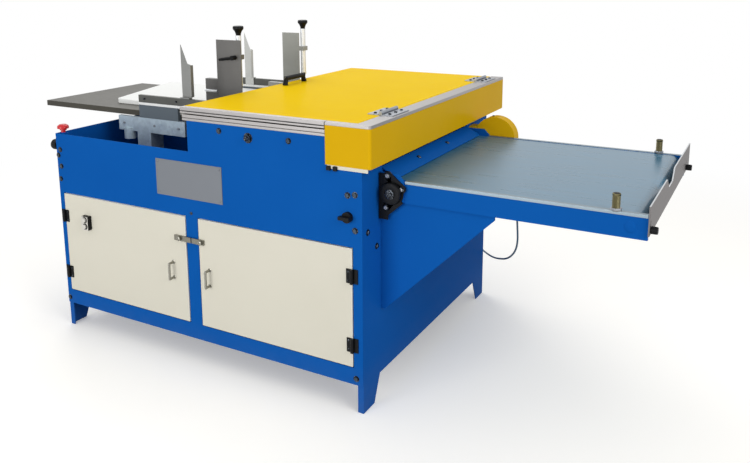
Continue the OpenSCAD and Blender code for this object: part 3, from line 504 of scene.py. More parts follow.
for leaves in HINGE_SCREW_X_MM:
    broken_edges(leaves, BLACK_NYLON, 0.6)
    hinge_screws(leaves)
broken_edges("door_hinge_bases", BLACK_NYLON, 0.6)

# Door pulls and catches: pulls of bent chromed wire with a rosette at each foot; catches of flat dull bar
# that turn on a pin through the door and reach over the post between the doors.
PULL_X_MM, PULL_Z_MM, DOOR_FACE_MM = {"left_door_pull": 538, "right_door_pull": 693}, (293, 347), -2
CATCH_PIN_MM = {"left_catch": (575, -13, 438), "right_catch": (665, -13, 438)}
DULL_CHROME = brushed_metal("dull_chrome", "#A5A39A", "#7E7C74", 0.22, "Z")
DULL_BAR = brushed_metal("dull_flat_bar", "#908E84", "#6A685F", 0.36, "X")


def door_pull(node):
    feet = [turned("rosette", (PULL_X_MM[node], DOOR_FACE_MM, z), FRONTWARD,
                   [(0, 7), (1, 7), (2, 5.4), (2, 4.2)], 32, DULL_CHROME) for z in PULL_Z_MM]
    broken_edges(node, DULL_CHROME, 0.2, 1, feet)


def door_catch(node):
    head = turned("catch_pin_head", CATCH_PIN_MM[node], FRONTWARD,
                  [(-1, 7.6), (1.2, 7.6), (2.6, 6.4), (3.2, 3.5), (3.2, 2.2), (2.2, 2.0)], 24, DULL_CHROME)
    broken_edges(node, DULL_BAR, 1.2, 2, [head])


for node in PULL_X_MM:
    door_pull(node)
for node in CATCH_PIN_MM:
    door_catch(node)

# Switch box: a pale moulded box screwed to the left door, its sides black as painted shade and only its front
# pale.
# Two pale push buttons stand in it, each in a black collar.
BOX_FACE_MM = -20
BUTTONS_MM = {"start_button": (142, 436), "stop_button": (142, 412)}
PALE_ABS = moulded_plastic("pale_abs", "#DEDCD4", "#D2CFC6", 0.4)


def switch_box():
    # The whole box is black and only its front face is made pale: the black on its top and sides is painted
    # shade.
    box = shaped("switch_box", BLACK_NYLON, 1.2)
    recoat(box, PALE_ABS, lambda x, y, z, normal: normal.y < -0.9 and y < BOX_FACE_MM + 1)
    collars = [turned("button_collar", (x, BOX_FACE_MM, z), FRONTWARD,
                      [(-1, 11.2), (1.4, 11.2), (2.2, 10.2), (2.2, 8.9), (-0.5, 8.8)], 28, BLACK_NYLON)
               for x, z in BUTTONS_MM.values()]
    assembled("switch_box", [box] + collars)
    for button in BUTTONS_MM:
        broken_edges(button, PALE_ABS, 1.6, 3)


switch_box()

# Emergency stop, rotary switch and side knob: moulded plastic on steel shafts. The stop is a red mushroom
# head on a blue box in the front left corner; the other two are black.
ESTOP_MM = (18, 21, 751)
KNOB_MM, KNOB_RING_MM, KNOB_RIBS = (-17.5, 26, 686), 17.4, 18
RED_ABS = moulded_plastic("red_abs", "#D8262A", "#C01C22", 0.3)


def emergency_stop():
    broken_edges("estop_base", BLUE_ENAMEL, 1.0)
    head = turned("mushroom", ESTOP_MM, UPWARD,
                  [(0.2, 15), (0.2, 19), (1.5, 20.3), (6.5, 20.3), (9, 19.2), (11.5, 16.8), (13.2, 13),
                   (14.2, 8), (14.4, 3)], 40, RED_ABS)
    broken_edges("estop_button", RED_ABS, 0.4, 2, [head])


def knob_ribs(middle_mm, toward, ring_mm, count, steps):
    """Grip ribs on a ring around a knob whose axis lies along X."""
    x, y, z = middle_mm
    turns = [math.tau * number / count for number in range(count)]
    return [turned("knob_rib", (x, y + ring_mm * math.cos(turn), z + ring_mm * math.sin(turn)), toward,
                   steps, 8, BLACK_NYLON) for turn in turns]


def side_knob():
    ribs = knob_ribs(KNOB_MM, LEFTWARD, KNOB_RING_MM, KNOB_RIBS,
                     [(0, 1.2), (1.5, 2.1), (19.5, 2.1), (21, 1.2)])
    broken_edges("side_knob", BLACK_NYLON, 1.5, 3, ribs)


emergency_stop()
side_knob()
broken_edges("main_switch", BLACK_NYLON, 2.2, 3)

# Lid: a shallow tray of folded sheet in glossy yellow enamel, over the forming rollers.
# Its front edge is an aluminium extrusion with a slot along it; a second bar is fixed to the cabinet below.
YELLOW_ENAMEL = sprayed_enamel("yellow_machine_enamel", "#FED614", "#F7CB0C", roughness=0.3, specular=0.002,
                               peel_depth=0.01)
# A darker copy of the lid's yellow for the hood and the drive guard: painted shade on their upright sheets.
SHADED_YELLOW_ENAMEL = sprayed_enamel("yellow_enamel_painted_shade", "#E2B414", "#D8A90E", roughness=0.3, specular=0.02,
                             peel_depth=0.03)
DRAWN_ALUMINIUM = brushed_metal("drawn_aluminium", "#ACA9A8", "#989594", 0.46, "X")
# Dark grey for the web at the bottom of each slot: painted shade in the groove.
SLOT_PAINTED_SHADE = moulded_plastic("slot_web_painted_shade", "#5C5A5B", "#474648", 0.6)
# Length, depth and height of a bar, then the height and the depth of its slot
PROFILE_MM = ((600, 1139), (-3, 17), (860, 880), (866, 869), 4)
FIXED_BAR_MM = ((605, 1139), (0, 18), (836, 856), (844, 845.5), 2)
STRIP_MM, LEDGE_MM = ((1240, 1289), (-2.5, 1109), (870, 880)), ((1141, 1241), (-2.5, 16), (870, 880))
# Outer and inner corner of the hood's sheet in plan, each with its radius
HOOD_CORNERS_MM = (((1289, -2.5), 9), ((1286.5, 0), 6.5))
AT_CORNER_M = 0.0004
broken_edges("lid", YELLOW_ENAMEL, 1.1)


def slotted_bar(name, x, y, z, slot_z, slot_mm):
    """An extrusion with one slot along its front: two lips over a deeper web, dark grey as painted shade in
    the slot.
    """
    upper = slab(name + "_upper", x, y, (slot_z[1], z[1]), 0.9, 3, DRAWN_ALUMINIUM)
    lower = slab(name + "_lower", x, y, (z[0], slot_z[0]), 0.9, 3, DRAWN_ALUMINIUM)
    web = slab(name + "_web", (x[0] + 1, x[1] - 1), (y[0] + slot_mm, y[1] - 0.5), (z[0] + 1, z[1] - 1),
               0.3, 1, SLOT_PAINTED_SHADE)
    return joined(name, [upper, lower, web])


def round_corner(piece, corner_mm, radius_mm):
    """Rounds the upright edge that stands at a plan position."""
    target = place(*corner_mm, 0)
    for edge in piece.data.edges:
        ends = [piece.data.vertices[index].co for index in edge.vertices]
        edge.select = all(abs(end.x - target.x) + abs(end.y - target.y) < AT_CORNER_M for end in ends)
    for thing in list(piece.data.vertices) + list(piece.data.polygons):
        thing.select = False
    select_only(piece)
    bpy.ops.object.mode_set(mode="EDIT")
    bpy.ops.mesh.select_mode(type="EDGE")
    bpy.ops.mesh.bevel(offset=radius_mm / 1000, segments=5, affect="EDGES")
    bpy.ops.object.mode_set(mode="OBJECT")


def fixed_bars():
    front = slotted_bar("front_bar", *FIXED_BAR_MM)
    strip = slab("hinge_strip", *STRIP_MM, 0)
    round_corner(strip, *HOOD_CORNERS_MM[0])
    round_edges(strip, 0.8)
    ledge = slab("hood_ledge", *LEDGE_MM, 0.8, 2, DRAWN_ALUMINIUM)
    assembled("lid_bars", [front, coat(strip, DRAWN_ALUMINIUM), ledge])


stand_for(slotted_bar("lid_profile_made", *PROFILE_MM), "lid_profile")
fixed_bars()

# Hood: folded yellow sheet under the hinge strip, rounded at its front corner, with a pale folded lip along
# its lower front edge and two black catches at the lip's left end.
LIP_MM = ((1146, 1280), (-2, 0), (744, 757))
LIP_CATCH_X_MM, LIP_CATCH_Y_MM, LIP_CATCH_Z_MM = ((1146, 1160), (1168, 1182)), (-8, -1), (739, 753)


def hood():
    shell = merged_copy("hood")
    for corner, radius in HOOD_CORNERS_MM:
        round_corner(shell, corner, radius)
    # The hood's sheet takes the darker yellow of painted shade.
    coat(round_edges(shell, 0.8), SHADED_YELLOW_ENAMEL)
    lip = slab("hood_lip", *LIP_MM, 0.6, 2, CREAM_ENAMEL)
    catches = [slab("hood_catch", x, LIP_CATCH_Y_MM, LIP_CATCH_Z_MM, 2, 3, BLACK_NYLON)
               for x in LIP_CATCH_X_MM]
    assembled("hood", [shell, lip] + catches)


hood()

# Lid hinges and handle: cast zinc butt hinges screwed to the lid and the strip; a bridge handle of black
# nylon held by a screw through each foot.
LID_TOP_MM, LID_HINGE_T_MM = 880, 4
LID_HINGE_Y_MM, LID_HINGE_SCREW_Y_MM = (150, 930), (16, 55, 94)
LID_HINGE_SCREW_X_MM = {"lid_hinge_leaves": 1215, "lid_hinge_bases": 1263}
GRIP_MM = ((631, 649), (528, 662), (LID_TOP_MM + 17, LID_TOP_MM + 34))
# Each foot of the handle: its place along Y, and the way its leg leans
HANDLE_X_MM, HANDLE_FEET_MM = 640, ((531, 1), (659, -1))
CAST_ZINC = brushed_metal("cast_zinc", "#A9ADB3", "#83878E", 0.4, "Y", 4)


def lid_hinges(node):
    screws = [turned("hinge_screw", (LID_HINGE_SCREW_X_MM[node], y + dy, LID_TOP_MM + LID_HINGE_T_MM), UPWARD,
                     [(-1, 5), (1.2, 5), (2.4, 3.9), (2.4, 2.4), (1, 2.2)], 20, BLACK_OXIDE)
              for y in LID_HINGE_Y_MM for dy in LID_HINGE_SCREW_Y_MM]
    broken_edges(node, CAST_ZINC, 0.4, 2, screws)


def lid_handle():
    parts = [slab("handle_grip", *GRIP_MM, 7, 4, BLACK_NYLON)]
    for foot, lean in HANDLE_FEET_MM:
        parts.append(turned("handle_leg", (HANDLE_X_MM, foot, LID_TOP_MM), (0, 0.3 * lean, 1),
                            [(0.5, 10.5), (3, 10.5), (10, 9.2), (22, 9), (29, 6)], 24, BLACK_NYLON))
        parts.append(turned("handle_screw", (HANDLE_X_MM, foot - 2 * lean, LID_TOP_MM + 24), UPWARD,
                            [(0, 5), (8.6, 5), (9.4, 4.2), (9.4, 2.6), (8.4, 2.4)], 16, BLACK_OXIDE))
    assembled("lid_handle", parts)


for node in LID_HINGE_SCREW_X_MM:
    lid_hinges(node)
lid_handle()

# Outfeed frame: two blue rails with a gusset plate welded to each, a bright angle along the top of each
# rail, and a sloping sheet from the cabinet to the belt with two bolts.
RAIL_X_MM, RAIL_TOP_MM = (1342, 2004), 702
# Spans across the machine of each angle's flat leg and of its upright leg
ANGLE_LEGS_MM = {"front_rail_angle": ((106.4, 120), (106.4, 108)),
                 "rear_rail_angle": ((806, 819.6), (818, 819.6))}
ANGLE_TOP_Z_MM, ANGLE_SIDE_Z_MM = (RAIL_TOP_MM, RAIL_TOP_MM + 1.6), (RAIL_TOP_MM - 7, RAIL_TOP_MM + 1)
CHUTE_BOLTS_MM, CHUTE_NORMAL = ((1283, 330, 719), (1283, 560, 719)), (0.5, 0, 0.86)
SATIN_ALUMINIUM = brushed_metal("satin_aluminium", "#8F9DA5", "#818E97", 0.44, "X")
broken_edges("conveyor_sides", BLUE_ENAMEL, 1.0)


def rail_angle(name):
    top_y, side_y = ANGLE_LEGS_MM[name]
    top = slab(name + "_top", RAIL_X_MM, top_y, ANGLE_TOP_Z_MM, 0.6)
    side = slab(name + "_side", RAIL_X_MM, side_y, ANGLE_SIDE_Z_MM, 0.5)
    go_with(coat(joined(name, [top, side]), SATIN_ALUMINIUM), "base")


def chute():
    bolts = []
    for at in CHUTE_BOLTS_MM:
        bolts += hexagon_bolt("chute_bolt", at, CHUTE_NORMAL)
    broken_edges("chute_plate", BLUE_ENAMEL, 0.8, 2, bolts)


for name in ANGLE_LEGS_MM:
    rail_angle(name)
chute()

# Belt: two-ply PVC conveyor belt over a steel bed and two steel drums.
# It is driven by the drum next to the cabinet; a turned cap closes each end of a drum.
DRUM_AXES_MM = {"drive_drum": (1305, 666.6), "idler_drum": (1963, 666.6)}
BELT_Y_MM, SHAFT_STUB_Y_MM = (124, 802), (104, 822)


def waves(tree, where, size_mm, direction="X"):
    """Bands this many millimetres wide."""
    return add_node(tree, "ShaderNodeTexWave", {"Vector": where, "Scale": per_mm(size_mm) / math.tau},
                    bands_direction=direction).outputs["Fac"]


def belt_pvc():
    # Satin PVC cover on fabric: blue-grey, a faint weave (1.5 mm, drawn at 5 mm) and scuffs along the run
    finish, tree, shader, where = new_finish("belt_pvc", {"IOR": 1.53, "Specular IOR Level": 1.0})
    scuff = noise(tree, stretched(tree, where, (0.12, 1, 1)), 22, 6)
    mixed_colour(tree, shader, scuff, "#2A5E76", "#447C9C")
    sheen(tree, shader, scuff, 0.24, 0.33)
    weave = product(tree, waves(tree, where, 5), waves(tree, where, 5, "Y"))
    relief(tree, shader, weave, 0.05, 0.3)
    return finish


TURNED_STEEL = brushed_metal("turned_steel", "#A4A8AB", "#7C8083", 0.34, "Y", 2.2)
broken_edges("conveyor_belt", belt_pvc(), 0.8)
broken_edges("slider_bed", brushed_metal("cold_rolled_sheet", "#B4B8BB", "#9A9EA1", 0.4, "X"), 1.0)


def drum(node):
    x, z = DRUM_AXES_MM[node]
    caps = [turned("drum_cap", (x, y, z), toward,
                   [(-2, 29), (0.6, 29), (1.2, 27), (1.2, 20), (0.4, 18), (0.4, 13)])
            for y, toward in zip(BELT_Y_MM, (FRONTWARD, BACKWARD))]
    made = coat(joined(node + "_made", [shaped(node, TURNED_STEEL, 0.8)] + caps), TURNED_STEEL)
    recoat(made, BLACK_OXIDE, lambda x, y, z, normal: y < SHAFT_STUB_Y_MM[0] or y > SHAFT_STUB_Y_MM[1])
    stand_for(made, node)


for node in DRUM_AXES_MM:
    drum(node)

# Bearings: cast iron flange housings, black, each bolted through its flange.
# The blackened inner ring stands a little proud of the seal around it.
BEARING_DEPTH_MM = 20
# Middle of each bearing on its wall, the way it faces along Y, and the radius of its housing
BEARING_SPOTS_MM = [(866, 3, 754, 1, 20), (866, 3, 804, 1, 20), (866, 1003, 754, -1, 20),
                    (866, 1003, 804, -1, 20), (1305, 102, 666.6, -1, 32), (1305, 824, 666.6, 1, 32)]


def cast_iron():
    # Sand-cast iron in black paint: pebbled skin about 4 mm across, dull
    finish, tree, shader, where = new_finish("cast_iron", {"Roughness": 0.48, "Specular IOR Level": 0.16})
    skin = noise(tree, where, 4, 5)
    mixed_colour(tree, shader, skin, "#06070A", "#131519")
    relief(tree, shader, skin, 0.4, 0.5)
    return finish


CAST_IRON = cast_iron()


def bearings():
    parts = []
    for x, y, z, out, radius in BEARING_SPOTS_MM:
        face, toward = (x, y + BEARING_DEPTH_MM * out, z), (0, out, 0)
        parts.append(turned("inner_ring", face, toward,
                            [(-1, 15.5), (2.4, 15.5), (3, 14.6), (3, 10.3), (-1, 10.3)], 32, BLACK_OXIDE))
        parts.append(turned("seal", face, toward,
                            [(-1, radius - 3), (0.7, radius - 3), (1.2, radius - 5), (0.2, 17)], 32,
                            CAST_IRON))
    broken_edges("shaft_bearings", CAST_IRON, 2.2, 3, parts)


bearings()

# Flange of the front belt bearing: a three-cornered black plate between housing and gusset, upright along
# the cabinet, one bright bolt in each corner; and a blue cap over the end of the idler's shaft.
FLANGE_MM, FLANGE_FACE_MM, FLANGE_T_MM = (1305, 666.6), 102, 6
RIB_W_MM, BOLT_SEAT_MM, FLANGE_BOLT_SCALE = 26, 5.8, 0.9
# Bolts, and the ends of the rib at the foot, from the flange's middle
FLANGE_BOLTS_MM = [(-14, 50), (-19, -46), (30, 14)]
FLANGE_FOOT_MM = [(-30, -68), (26, -18)]
UPRIGHT_MM = ((1262.5, 1292), (97, 102), (583, 722))
IDLER_CAP_MM = (1963, 108, 666.6)


def on_flange(dx, dz):
    return FLANGE_MM[0] + dx, FLANGE_FACE_MM, FLANGE_MM[1] + dz


def flange_rib(name, start, end):
    """A flat bar from one bolt of the flange to another."""
    half = math.dist(start, end) / 2
    rib = slab(name, (-half, half), (-FLANGE_T_MM, 0), (-RIB_W_MM / 2, RIB_W_MM / 2), 0.8, 2, CAST_IRON)
    rib.data.transform(Matrix.Translation(-place(0, 0, 0)))
    rib.data.transform(Matrix.Rotation(-math.atan2(end[1] - start[1], end[0] - start[0]), 4, "Y"))
    middle = on_flange((start[0] + end[0]) / 2, (start[1] + end[1]) / 2)
    rib.data.transform(Matrix.Translation(place(*middle)))
    return rib


def bearing_flange():
    parts = [slab("flange_upright", *UPRIGHT_MM, 0.8, 2, CAST_IRON),
             flange_rib("flange_foot", *FLANGE_FOOT_MM)]
    for number, bolt in enumerate(FLANGE_BOLTS_MM):
        x, y, z = on_flange(*bolt)
        parts.append(turned("flange_ear", (x, y, z), FRONTWARD, [(0, 13), (5.2, 13), (6, 12.2)], 24,
                            CAST_IRON))
        parts.append(flange_rib("flange_rib", bolt, FLANGE_BOLTS_MM[number - 1]))
        washer, head = hexagon_bolt("flange_bolt", (x, y - BOLT_SEAT_MM, z), FRONTWARD, FLANGE_BOLT_SCALE)
        parts += [washer, coat(head, CAST_ZINC)]
    parts.append(turned("flange_plate", on_flange(0, 0), FRONTWARD, [(0, 36), (5.2, 36), (6, 35)], 48,
                        CAST_IRON))
    go_with(joined("bearing_flange", parts), "base")
    cap = turned("idler_cap", IDLER_CAP_MM, FRONTWARD, [(0, 15), (0.5, 15), (0.8, 14.5), (0.8, 6)], 32,
                 BLUE_ENAMEL)
    go_with(cap, "base")


bearing_flange()

# End stop: a sanded aluminium plate with a thumb cut, its top edge paler as a painted highlight, held against
# the rail ends by two black knobs in slots.
STOP_KNOBS_MM = {"front_stop_knob": (2011, 114, 665), "rear_stop_knob": (2011, 812, 665)}
STOP_KNOB_RING_MM, STOP_KNOB_RIBS = 8.6, 12
SANDED_ALUMINIUM = brushed_metal("sanded_aluminium", "#7B7878", "#6C6969", 0.54, "Y")
STOP_TOP_PAINTED_HIGHLIGHT = brushed_metal("aluminium_painted_highlight", "#D6D9DC", "#C4C7CA", 0.3, "Y")
# The plate's upward faces take the pale aluminium: a painted highlight along its top edge.
recoat(broken_edges("end_stop", SANDED_ALUMINIUM, 0.8), STOP_TOP_PAINTED_HIGHLIGHT, lambda x, y, z, normal: normal.z > 0.6)


def stop_knob(node):
    ribs = knob_ribs(STOP_KNOBS_MM[node], RIGHTWARD, STOP_KNOB_RING_MM, STOP_KNOB_RIBS,
                     [(0, 0.7), (1.2, 1.4), (13.5, 1.4), (14.8, 0.7)])
    broken_edges(node, BLACK_NYLON, 1.6, 3, ribs)


for node in STOP_KNOBS_MM:
    stop_knob(node)

# Sensor barrels: threaded brass tubes that stand on the rails, a dark sensing face on top of each.
# A flat hexagon nut locks each of them on its rail.
SENSORS_MM = [(1925, 114), (1925, 812)]
BARREL_R_MM, BARREL_H_MM, BARREL_CHAMFER_MM = 10.5, 46, 1.2
THREAD_PITCH_MM, THREAD_DEPTH_MM, THREAD_FOOT_MM, THREAD_END_MM = 3.0, 1.1, 8, 43


def barrel_steps():
    """Lathe steps of a tube with its thread drawn as rings."""
    steps, height = [(0, BARREL_R_MM), (THREAD_FOOT_MM, BARREL_R_MM)], THREAD_FOOT_MM
    while height + THREAD_PITCH_MM < THREAD_END_MM:
        steps.append((height + THREAD_PITCH_MM / 2, BARREL_R_MM - THREAD_DEPTH_MM))
        height += THREAD_PITCH_MM
        steps.append((height, BARREL_R_MM))
    return steps + [(BARREL_H_MM - BARREL_CHAMFER_MM, BARREL_R_MM),
                    (BARREL_H_MM, BARREL_R_MM - BARREL_CHAMFER_MM)]


def sensor_barrels():
    # Nickelled brass gone dull: yellow-brown with greenish-brown streaks along the barrel
    brass = brushed_metal("dull_brass", "#7E785A", "#5E5940", 0.42, "Z")
    pieces = []
    for x, y in SENSORS_MM:
        pieces.append(turned("barrel", (x, y, RAIL_TOP_MM), UPWARD, barrel_steps(), 32, brass))
        pieces.append(turned("barrel_nut", (x, y, RAIL_TOP_MM + 1.4), UPWARD,
                             [(0, 14), (1, 15), (6, 15), (7, 14)], 6, CAST_ZINC))
        pieces.append(turned("sensing_face", (x, y, RAIL_TOP_MM + BARREL_H_MM - 1), UPWARD,
                             [(0, 8.2), (1.4, 8.2), (1.7, 7.4)], 24, BLACK_NYLON))
    assembled("sensor_posts", pieces)


sensor_barrels()

# Drive guard: rounded yellow sheet over the belt's sprocket.
# It is pressed and folded, and held by two screws on top.
GUARD_SCREWS_MM = [(1345, 848, 770.4), (1320, 848, 730.6)]


def drive_guard():
    screws = [turned("guard_screw", at, UPWARD,
                     [(-0.6, 4.5), (1.4, 4.5), (2.6, 3.2), (2.6, 2), (1.6, 1.8)], 16, BLACK_OXIDE)
              for at in GUARD_SCREWS_MM]
    # The guard takes the darker yellow of painted shade.
    broken_edges("drive_guard", SHADED_YELLOW_ENAMEL, 1.1, 2, screws)


drive_guard()

# Infeed table: a ground steel plate, brown-grey, that stands out over the left end; on it a thick white
# plastic slide plate and white strips under the side rails.
def ground_plate(name, colour, shade, roughness):
    # Ground steel plate gone dull: soft clouds of handling marks 90 mm across and fine scratches
    finish, tree, shader, where = new_finish(name, {"Metallic": 0.75})
    mixed_colour(tree, shader, noise(tree, where, 90, 5), shade, colour)
    lines = noise(tree, stretched(tree, where, (0.06, 1, 1), (0, 0, 0.3)), 3, 6)
    sheen(tree, shader, lines, roughness - 0.1, roughness + 0.14)
    relief(tree, shader, lines, 0.1, 0.2)
    return finish


WHITE_HDPE = moulded_plastic("white_hdpe", "#F5F6F4", "#EDEEEC", 0.5, 6)
broken_edges("infeed_table", ground_plate("ground_table_plate", "#4E4C44", "#403E38", 0.42), 1.6)
broken_edges("slide_plate", WHITE_HDPE, 2.0, 3)

# Side rails, boxes and brackets: dark steel rails on slate boxes, carried by light galvanised brackets whose
# posts stand on the cabinet floor. Cap screws hold the rails and the brackets.
RAIL_SCREWS_MM = [(x, 200, 849) for x in (248, 400, 560)]
BRACKET_SCREWS_MM = [(x, 200, 752) for x in (140, 290, 405)]


def galvanised(name, colour, shade):
    # Hot-dip zinc: pale blue-grey spangles about 12 mm across, slightly different in tone and gloss
    finish, tree, shader, where = new_finish(name, {"Metallic": 0.45})
    spangle = add_node(tree, "ShaderNodeTexVoronoi", {"Vector": where, "Scale": per_mm(12)})
    tone = add_node(tree, "ShaderNodeSeparateColor", {"Color": spangle.outputs["Color"]})
    mixed_colour(tree, shader, tone.outputs["Red"], shade, colour)
    sheen(tree, shader, tone.outputs["Green"], 0.34, 0.54)
    return finish


DARK_STEEL = ground_plate("dark_rail_steel", "#62635F", "#50514E", 0.45)
HOT_DIP_ZINC = galvanised("hot_dip_zinc", "#B6C6D0", "#A6B6C0")
SLATE_ENAMEL = sprayed_enamel("slate_enamel", "#646E76", "#586168", roughness=0.45, specular=0.2)


def cap_screw(at_mm, toward, radius_mm, finish):
    return turned("cap_screw", at_mm, toward,
                  [(-0.5, radius_mm), (2.6, radius_mm), (3.4, radius_mm * 0.85), (3.4, radius_mm * 0.5),
                   (1.2, radius_mm * 0.45)], 18, finish)


def rails_and_brackets():
    screws = [cap_screw(at, FRONTWARD, 4, BLACK_OXIDE) for at in RAIL_SCREWS_MM]
    broken_edges("side_rails", DARK_STEEL, 1.0, 2, screws)
    screws = [cap_screw(at, FRONTWARD, 4.5, CAST_ZINC) for at in BRACKET_SCREWS_MM]
    broken_edges("table_brackets", HOT_DIP_ZINC, 1.4, 2, screws)


rails_and_brackets()
broken_edges("table_boxes", SLATE_ENAMEL, 1.2)

# Corner guides and guide plates: bent and sawn steel plate, ground grey. The guides slide along the rails,
# the plates across the table in slots.
SATIN_BAR = brushed_metal("satin_round_bar", "#E4E6E8", "#CDD0D3", 0.45, "Z")
# The front fin and front guide are darker and the rear ones paler: lit and shaded copies of one ground steel,
# painted light and shade.
SHADED_GUIDE_PLATE = ground_plate("guide_plate_painted_shade", "#72716F", "#626160", 0.46)
LIT_AND_SHADED_FINS = {"front_fin": ground_plate("fin_plate_painted_shade", "#919290", "#7D7E7C", 0.44),
              "rear_fin": ground_plate("fin_plate_painted_light", "#C2C3C0", "#B0B1AE", 0.44)}
LOCK_ROD_MM, LOCK_ROD_L_MM = (414, 346, 872), 54
for node, finish in LIT_AND_SHADED_FINS.items():
    broken_edges(node, finish, 0.7)


def guide_plates():
    lock = turned("lock_rod", LOCK_ROD_MM, RIGHTWARD, [(-4, 3.5), (-3, 5), (LOCK_ROD_L_MM, 5)], 20, SATIN_BAR)
    broken_edges("front_guide", SHADED_GUIDE_PLATE, 0.9, 2, [lock])
    # The rear guide takes the paler copy: painted light.
    broken_edges("rear_guide", ground_plate("guide_plate_painted_light", "#9A9B96", "#8C8D88", 0.44), 0.9)


guide_plates()

# Hold-down rods: bright round bar through a boss on each guide plate, a presser foot below and a black
# moulded knob on top; a small black lever clamps the front one.
RODS_MM = {"front_hold_rod": (554, 370), "rear_hold_rod": (586, 740)}
KNOB_FOOT_MM = 1076


def hold_rod(node):
    x, y = RODS_MM[node]
    rod = turned("rod", (x, y, 0), UPWARD,
                 [(895, 9.5), (896.5, 11), (905, 11), (905, 10), (1075, 10), (KNOB_FOOT_MM, 10)], 32,
                 SATIN_BAR)
    knob = turned("rod_knob", (x, y, KNOB_FOOT_MM), UPWARD,
                  [(0, 9), (5, 9.5), (14, 12.5), (20, 17), (21.5, 18.6), (24, 19.4), (30, 19.4), (32.6, 18),
                   (34, 14), (34, 5), (33.4, 4)], 36, BLACK_NYLON)
    assembled(node, [rod, knob])


for node in RODS_MM:
    hold_rod(node)
broken_edges("clamp_lever", BLACK_NYLON, 1.6, 3)

# Forming rollers: knurled steel rollers, one above the other, under the lid.
# They are turned with their shafts in one piece and geared together at the rear end.
KNURL_Y_MM = (60, 818)


def knurled_steel():
    # Hardened steel with a crossed knurl, 2 mm, drawn at 6 mm so that it shows; oil-dark in the grooves
    finish, tree, shader, where = new_finish("knurled_steel", {"Metallic": 1.0, "Roughness": 0.36})
    left = waves(tree, stretched(tree, where, (1, 1, 1), (0, 0.6, 0.785)), 6)
    right = waves(tree, stretched(tree, where, (1, 1, 1), (0, -0.6, -0.785)), 6)
    knurl = product(tree, left, right)
    mixed_colour(tree, shader, knurl, "#4A4D50", "#8D9194")
    relief(tree, shader, knurl, 0.5, 0.6)
    return finish


KNURLED_STEEL = knurled_steel()
for node in ("lower_roller", "upper_roller"):
    roller = shaped(node, TURNED_STEEL, 0.5, 1)
    recoat(roller, KNURLED_STEEL,
           lambda x, y, z, normal: KNURL_Y_MM[0] < y < KNURL_Y_MM[1] and abs(normal.y) < 0.5)
    stand_for(roller, node)

# Gearmotor: a cast worm gearbox with a finned motor and its terminal box, painted grey; hung on the lower
# roller's shaft, with a torque arm to the back panel.
MOTOR_Y_MM, MOTOR_Z_MM, FIN_X_MM, COWL_X_MM = 916.5, 715, range(946, 1063, 13), 1076
TERMINAL_MM = ((965, 1035), (888.5, 944.5), (750, 782))
TERMINAL_SCREWS_MM = [(x, y, 781.5) for x in (973, 1027) for y in (896.5, 936.5)]
GREY_ENAMEL = sprayed_enamel("grey_motor_enamel", "#6C7075", "#5F6368", roughness=0.5, specular=0.3)


def gearmotor():
    parts = [turned("motor_fin", (x, MOTOR_Y_MM, MOTOR_Z_MM), RIGHTWARD,
                    [(0, 38), (0.6, 43), (3.4, 43), (4, 38)], 40, GREY_ENAMEL) for x in FIN_X_MM]
    parts.append(turned("fan_cowl", (COWL_X_MM, MOTOR_Y_MM, MOTOR_Z_MM), RIGHTWARD,
                        [(0, 40), (1, 42.5), (38, 42.5), (42, 40), (43.5, 34), (43.5, 12), (41, 11)], 40,
                        GREY_ENAMEL))
    parts.append(slab("terminal_box", *TERMINAL_MM, 3, 3, GREY_ENAMEL))
    parts += [cap_screw(at, UPWARD, 3.5, BLACK_OXIDE) for at in TERMINAL_SCREWS_MM]
    broken_edges("gearmotor", GREY_ENAMEL, 2.5, 3, parts)


gearmotor()

# Drive chain: half-inch roller chain from the lower roller's sprocket to the belt drum's.
# Oiled steel: punched link plates on both sides of turned rolls.
CHAIN_ENDS_MM, CHAIN_Y_MM, CHAIN_R_MM, CHAIN_LINKS = ((866, 754), (1305, 666.6)), 853, 30.4, 86
# Half the length of a link plate as a share of the pitch, and the plates' spans across and upright
LINK_REACH, LINK_Z_MM = 0.72, (-3, 3)
LINK_PLATES_Y_MM = {"link_plate": (-4.6, -3.2), "link_other": (3.2, 4.6)}


def chain_point(travel):
    """Place and heading on the chain's loop, at a distance along it."""
    (ax, az), (bx, bz) = CHAIN_ENDS_MM
    run = math.hypot(bx - ax, bz - az)
    heading = math.atan2(bz - az, bx - ax)
    bow = math.pi * CHAIN_R_MM
    if travel >= run + bow:
        travel, heading, (ax, az) = travel - run - bow, heading + math.pi, (bx, bz)
    if travel < run:
        at = (ax + CHAIN_R_MM * math.sin(heading) + travel * math.cos(heading),
              az - CHAIN_R_MM * math.cos(heading) + travel * math.sin(heading))
        return at, heading
    turn = (travel - run) / CHAIN_R_MM
    spoke = heading - math.pi / 2 + turn
    at = (ax + run * math.cos(heading) + CHAIN_R_MM * math.cos(spoke),
          az + run * math.sin(heading) + CHAIN_R_MM * math.sin(spoke))
    return at, heading + turn


def drive_chain():
    pitch = 2 * (math.dist(*CHAIN_ENDS_MM) + math.pi * CHAIN_R_MM) / CHAIN_LINKS
    reach = LINK_REACH * pitch
    parts = [slab(name, (-reach, reach), y, LINK_Z_MM, 1.3, 1) for name, y in LINK_PLATES_Y_MM.items()]
    parts.append(turned("link_roll", (0, -3.4, 0), BACKWARD, [(0, 3.2), (6.8, 3.2)], 8))
    link = joined("chain_link", parts)
    link.data.transform(Matrix.Translation(-place(0, 0, 0)))
    links = []
    for count in range(CHAIN_LINKS):
        (x, z), heading = chain_point(count * pitch)
        copy = link.copy()
        copy.data = link.data.copy()
        bpy.context.collection.objects.link(copy)
        copy.data.transform(Matrix.Rotation(-heading, 4, "Y"))
        copy.data.transform(Matrix.Translation(place(x, CHAIN_Y_MM, z)))
        links.append(copy)
    bpy.data.objects.remove(link)
    assembled("drive_chain", links, BLACK_OXIDE)


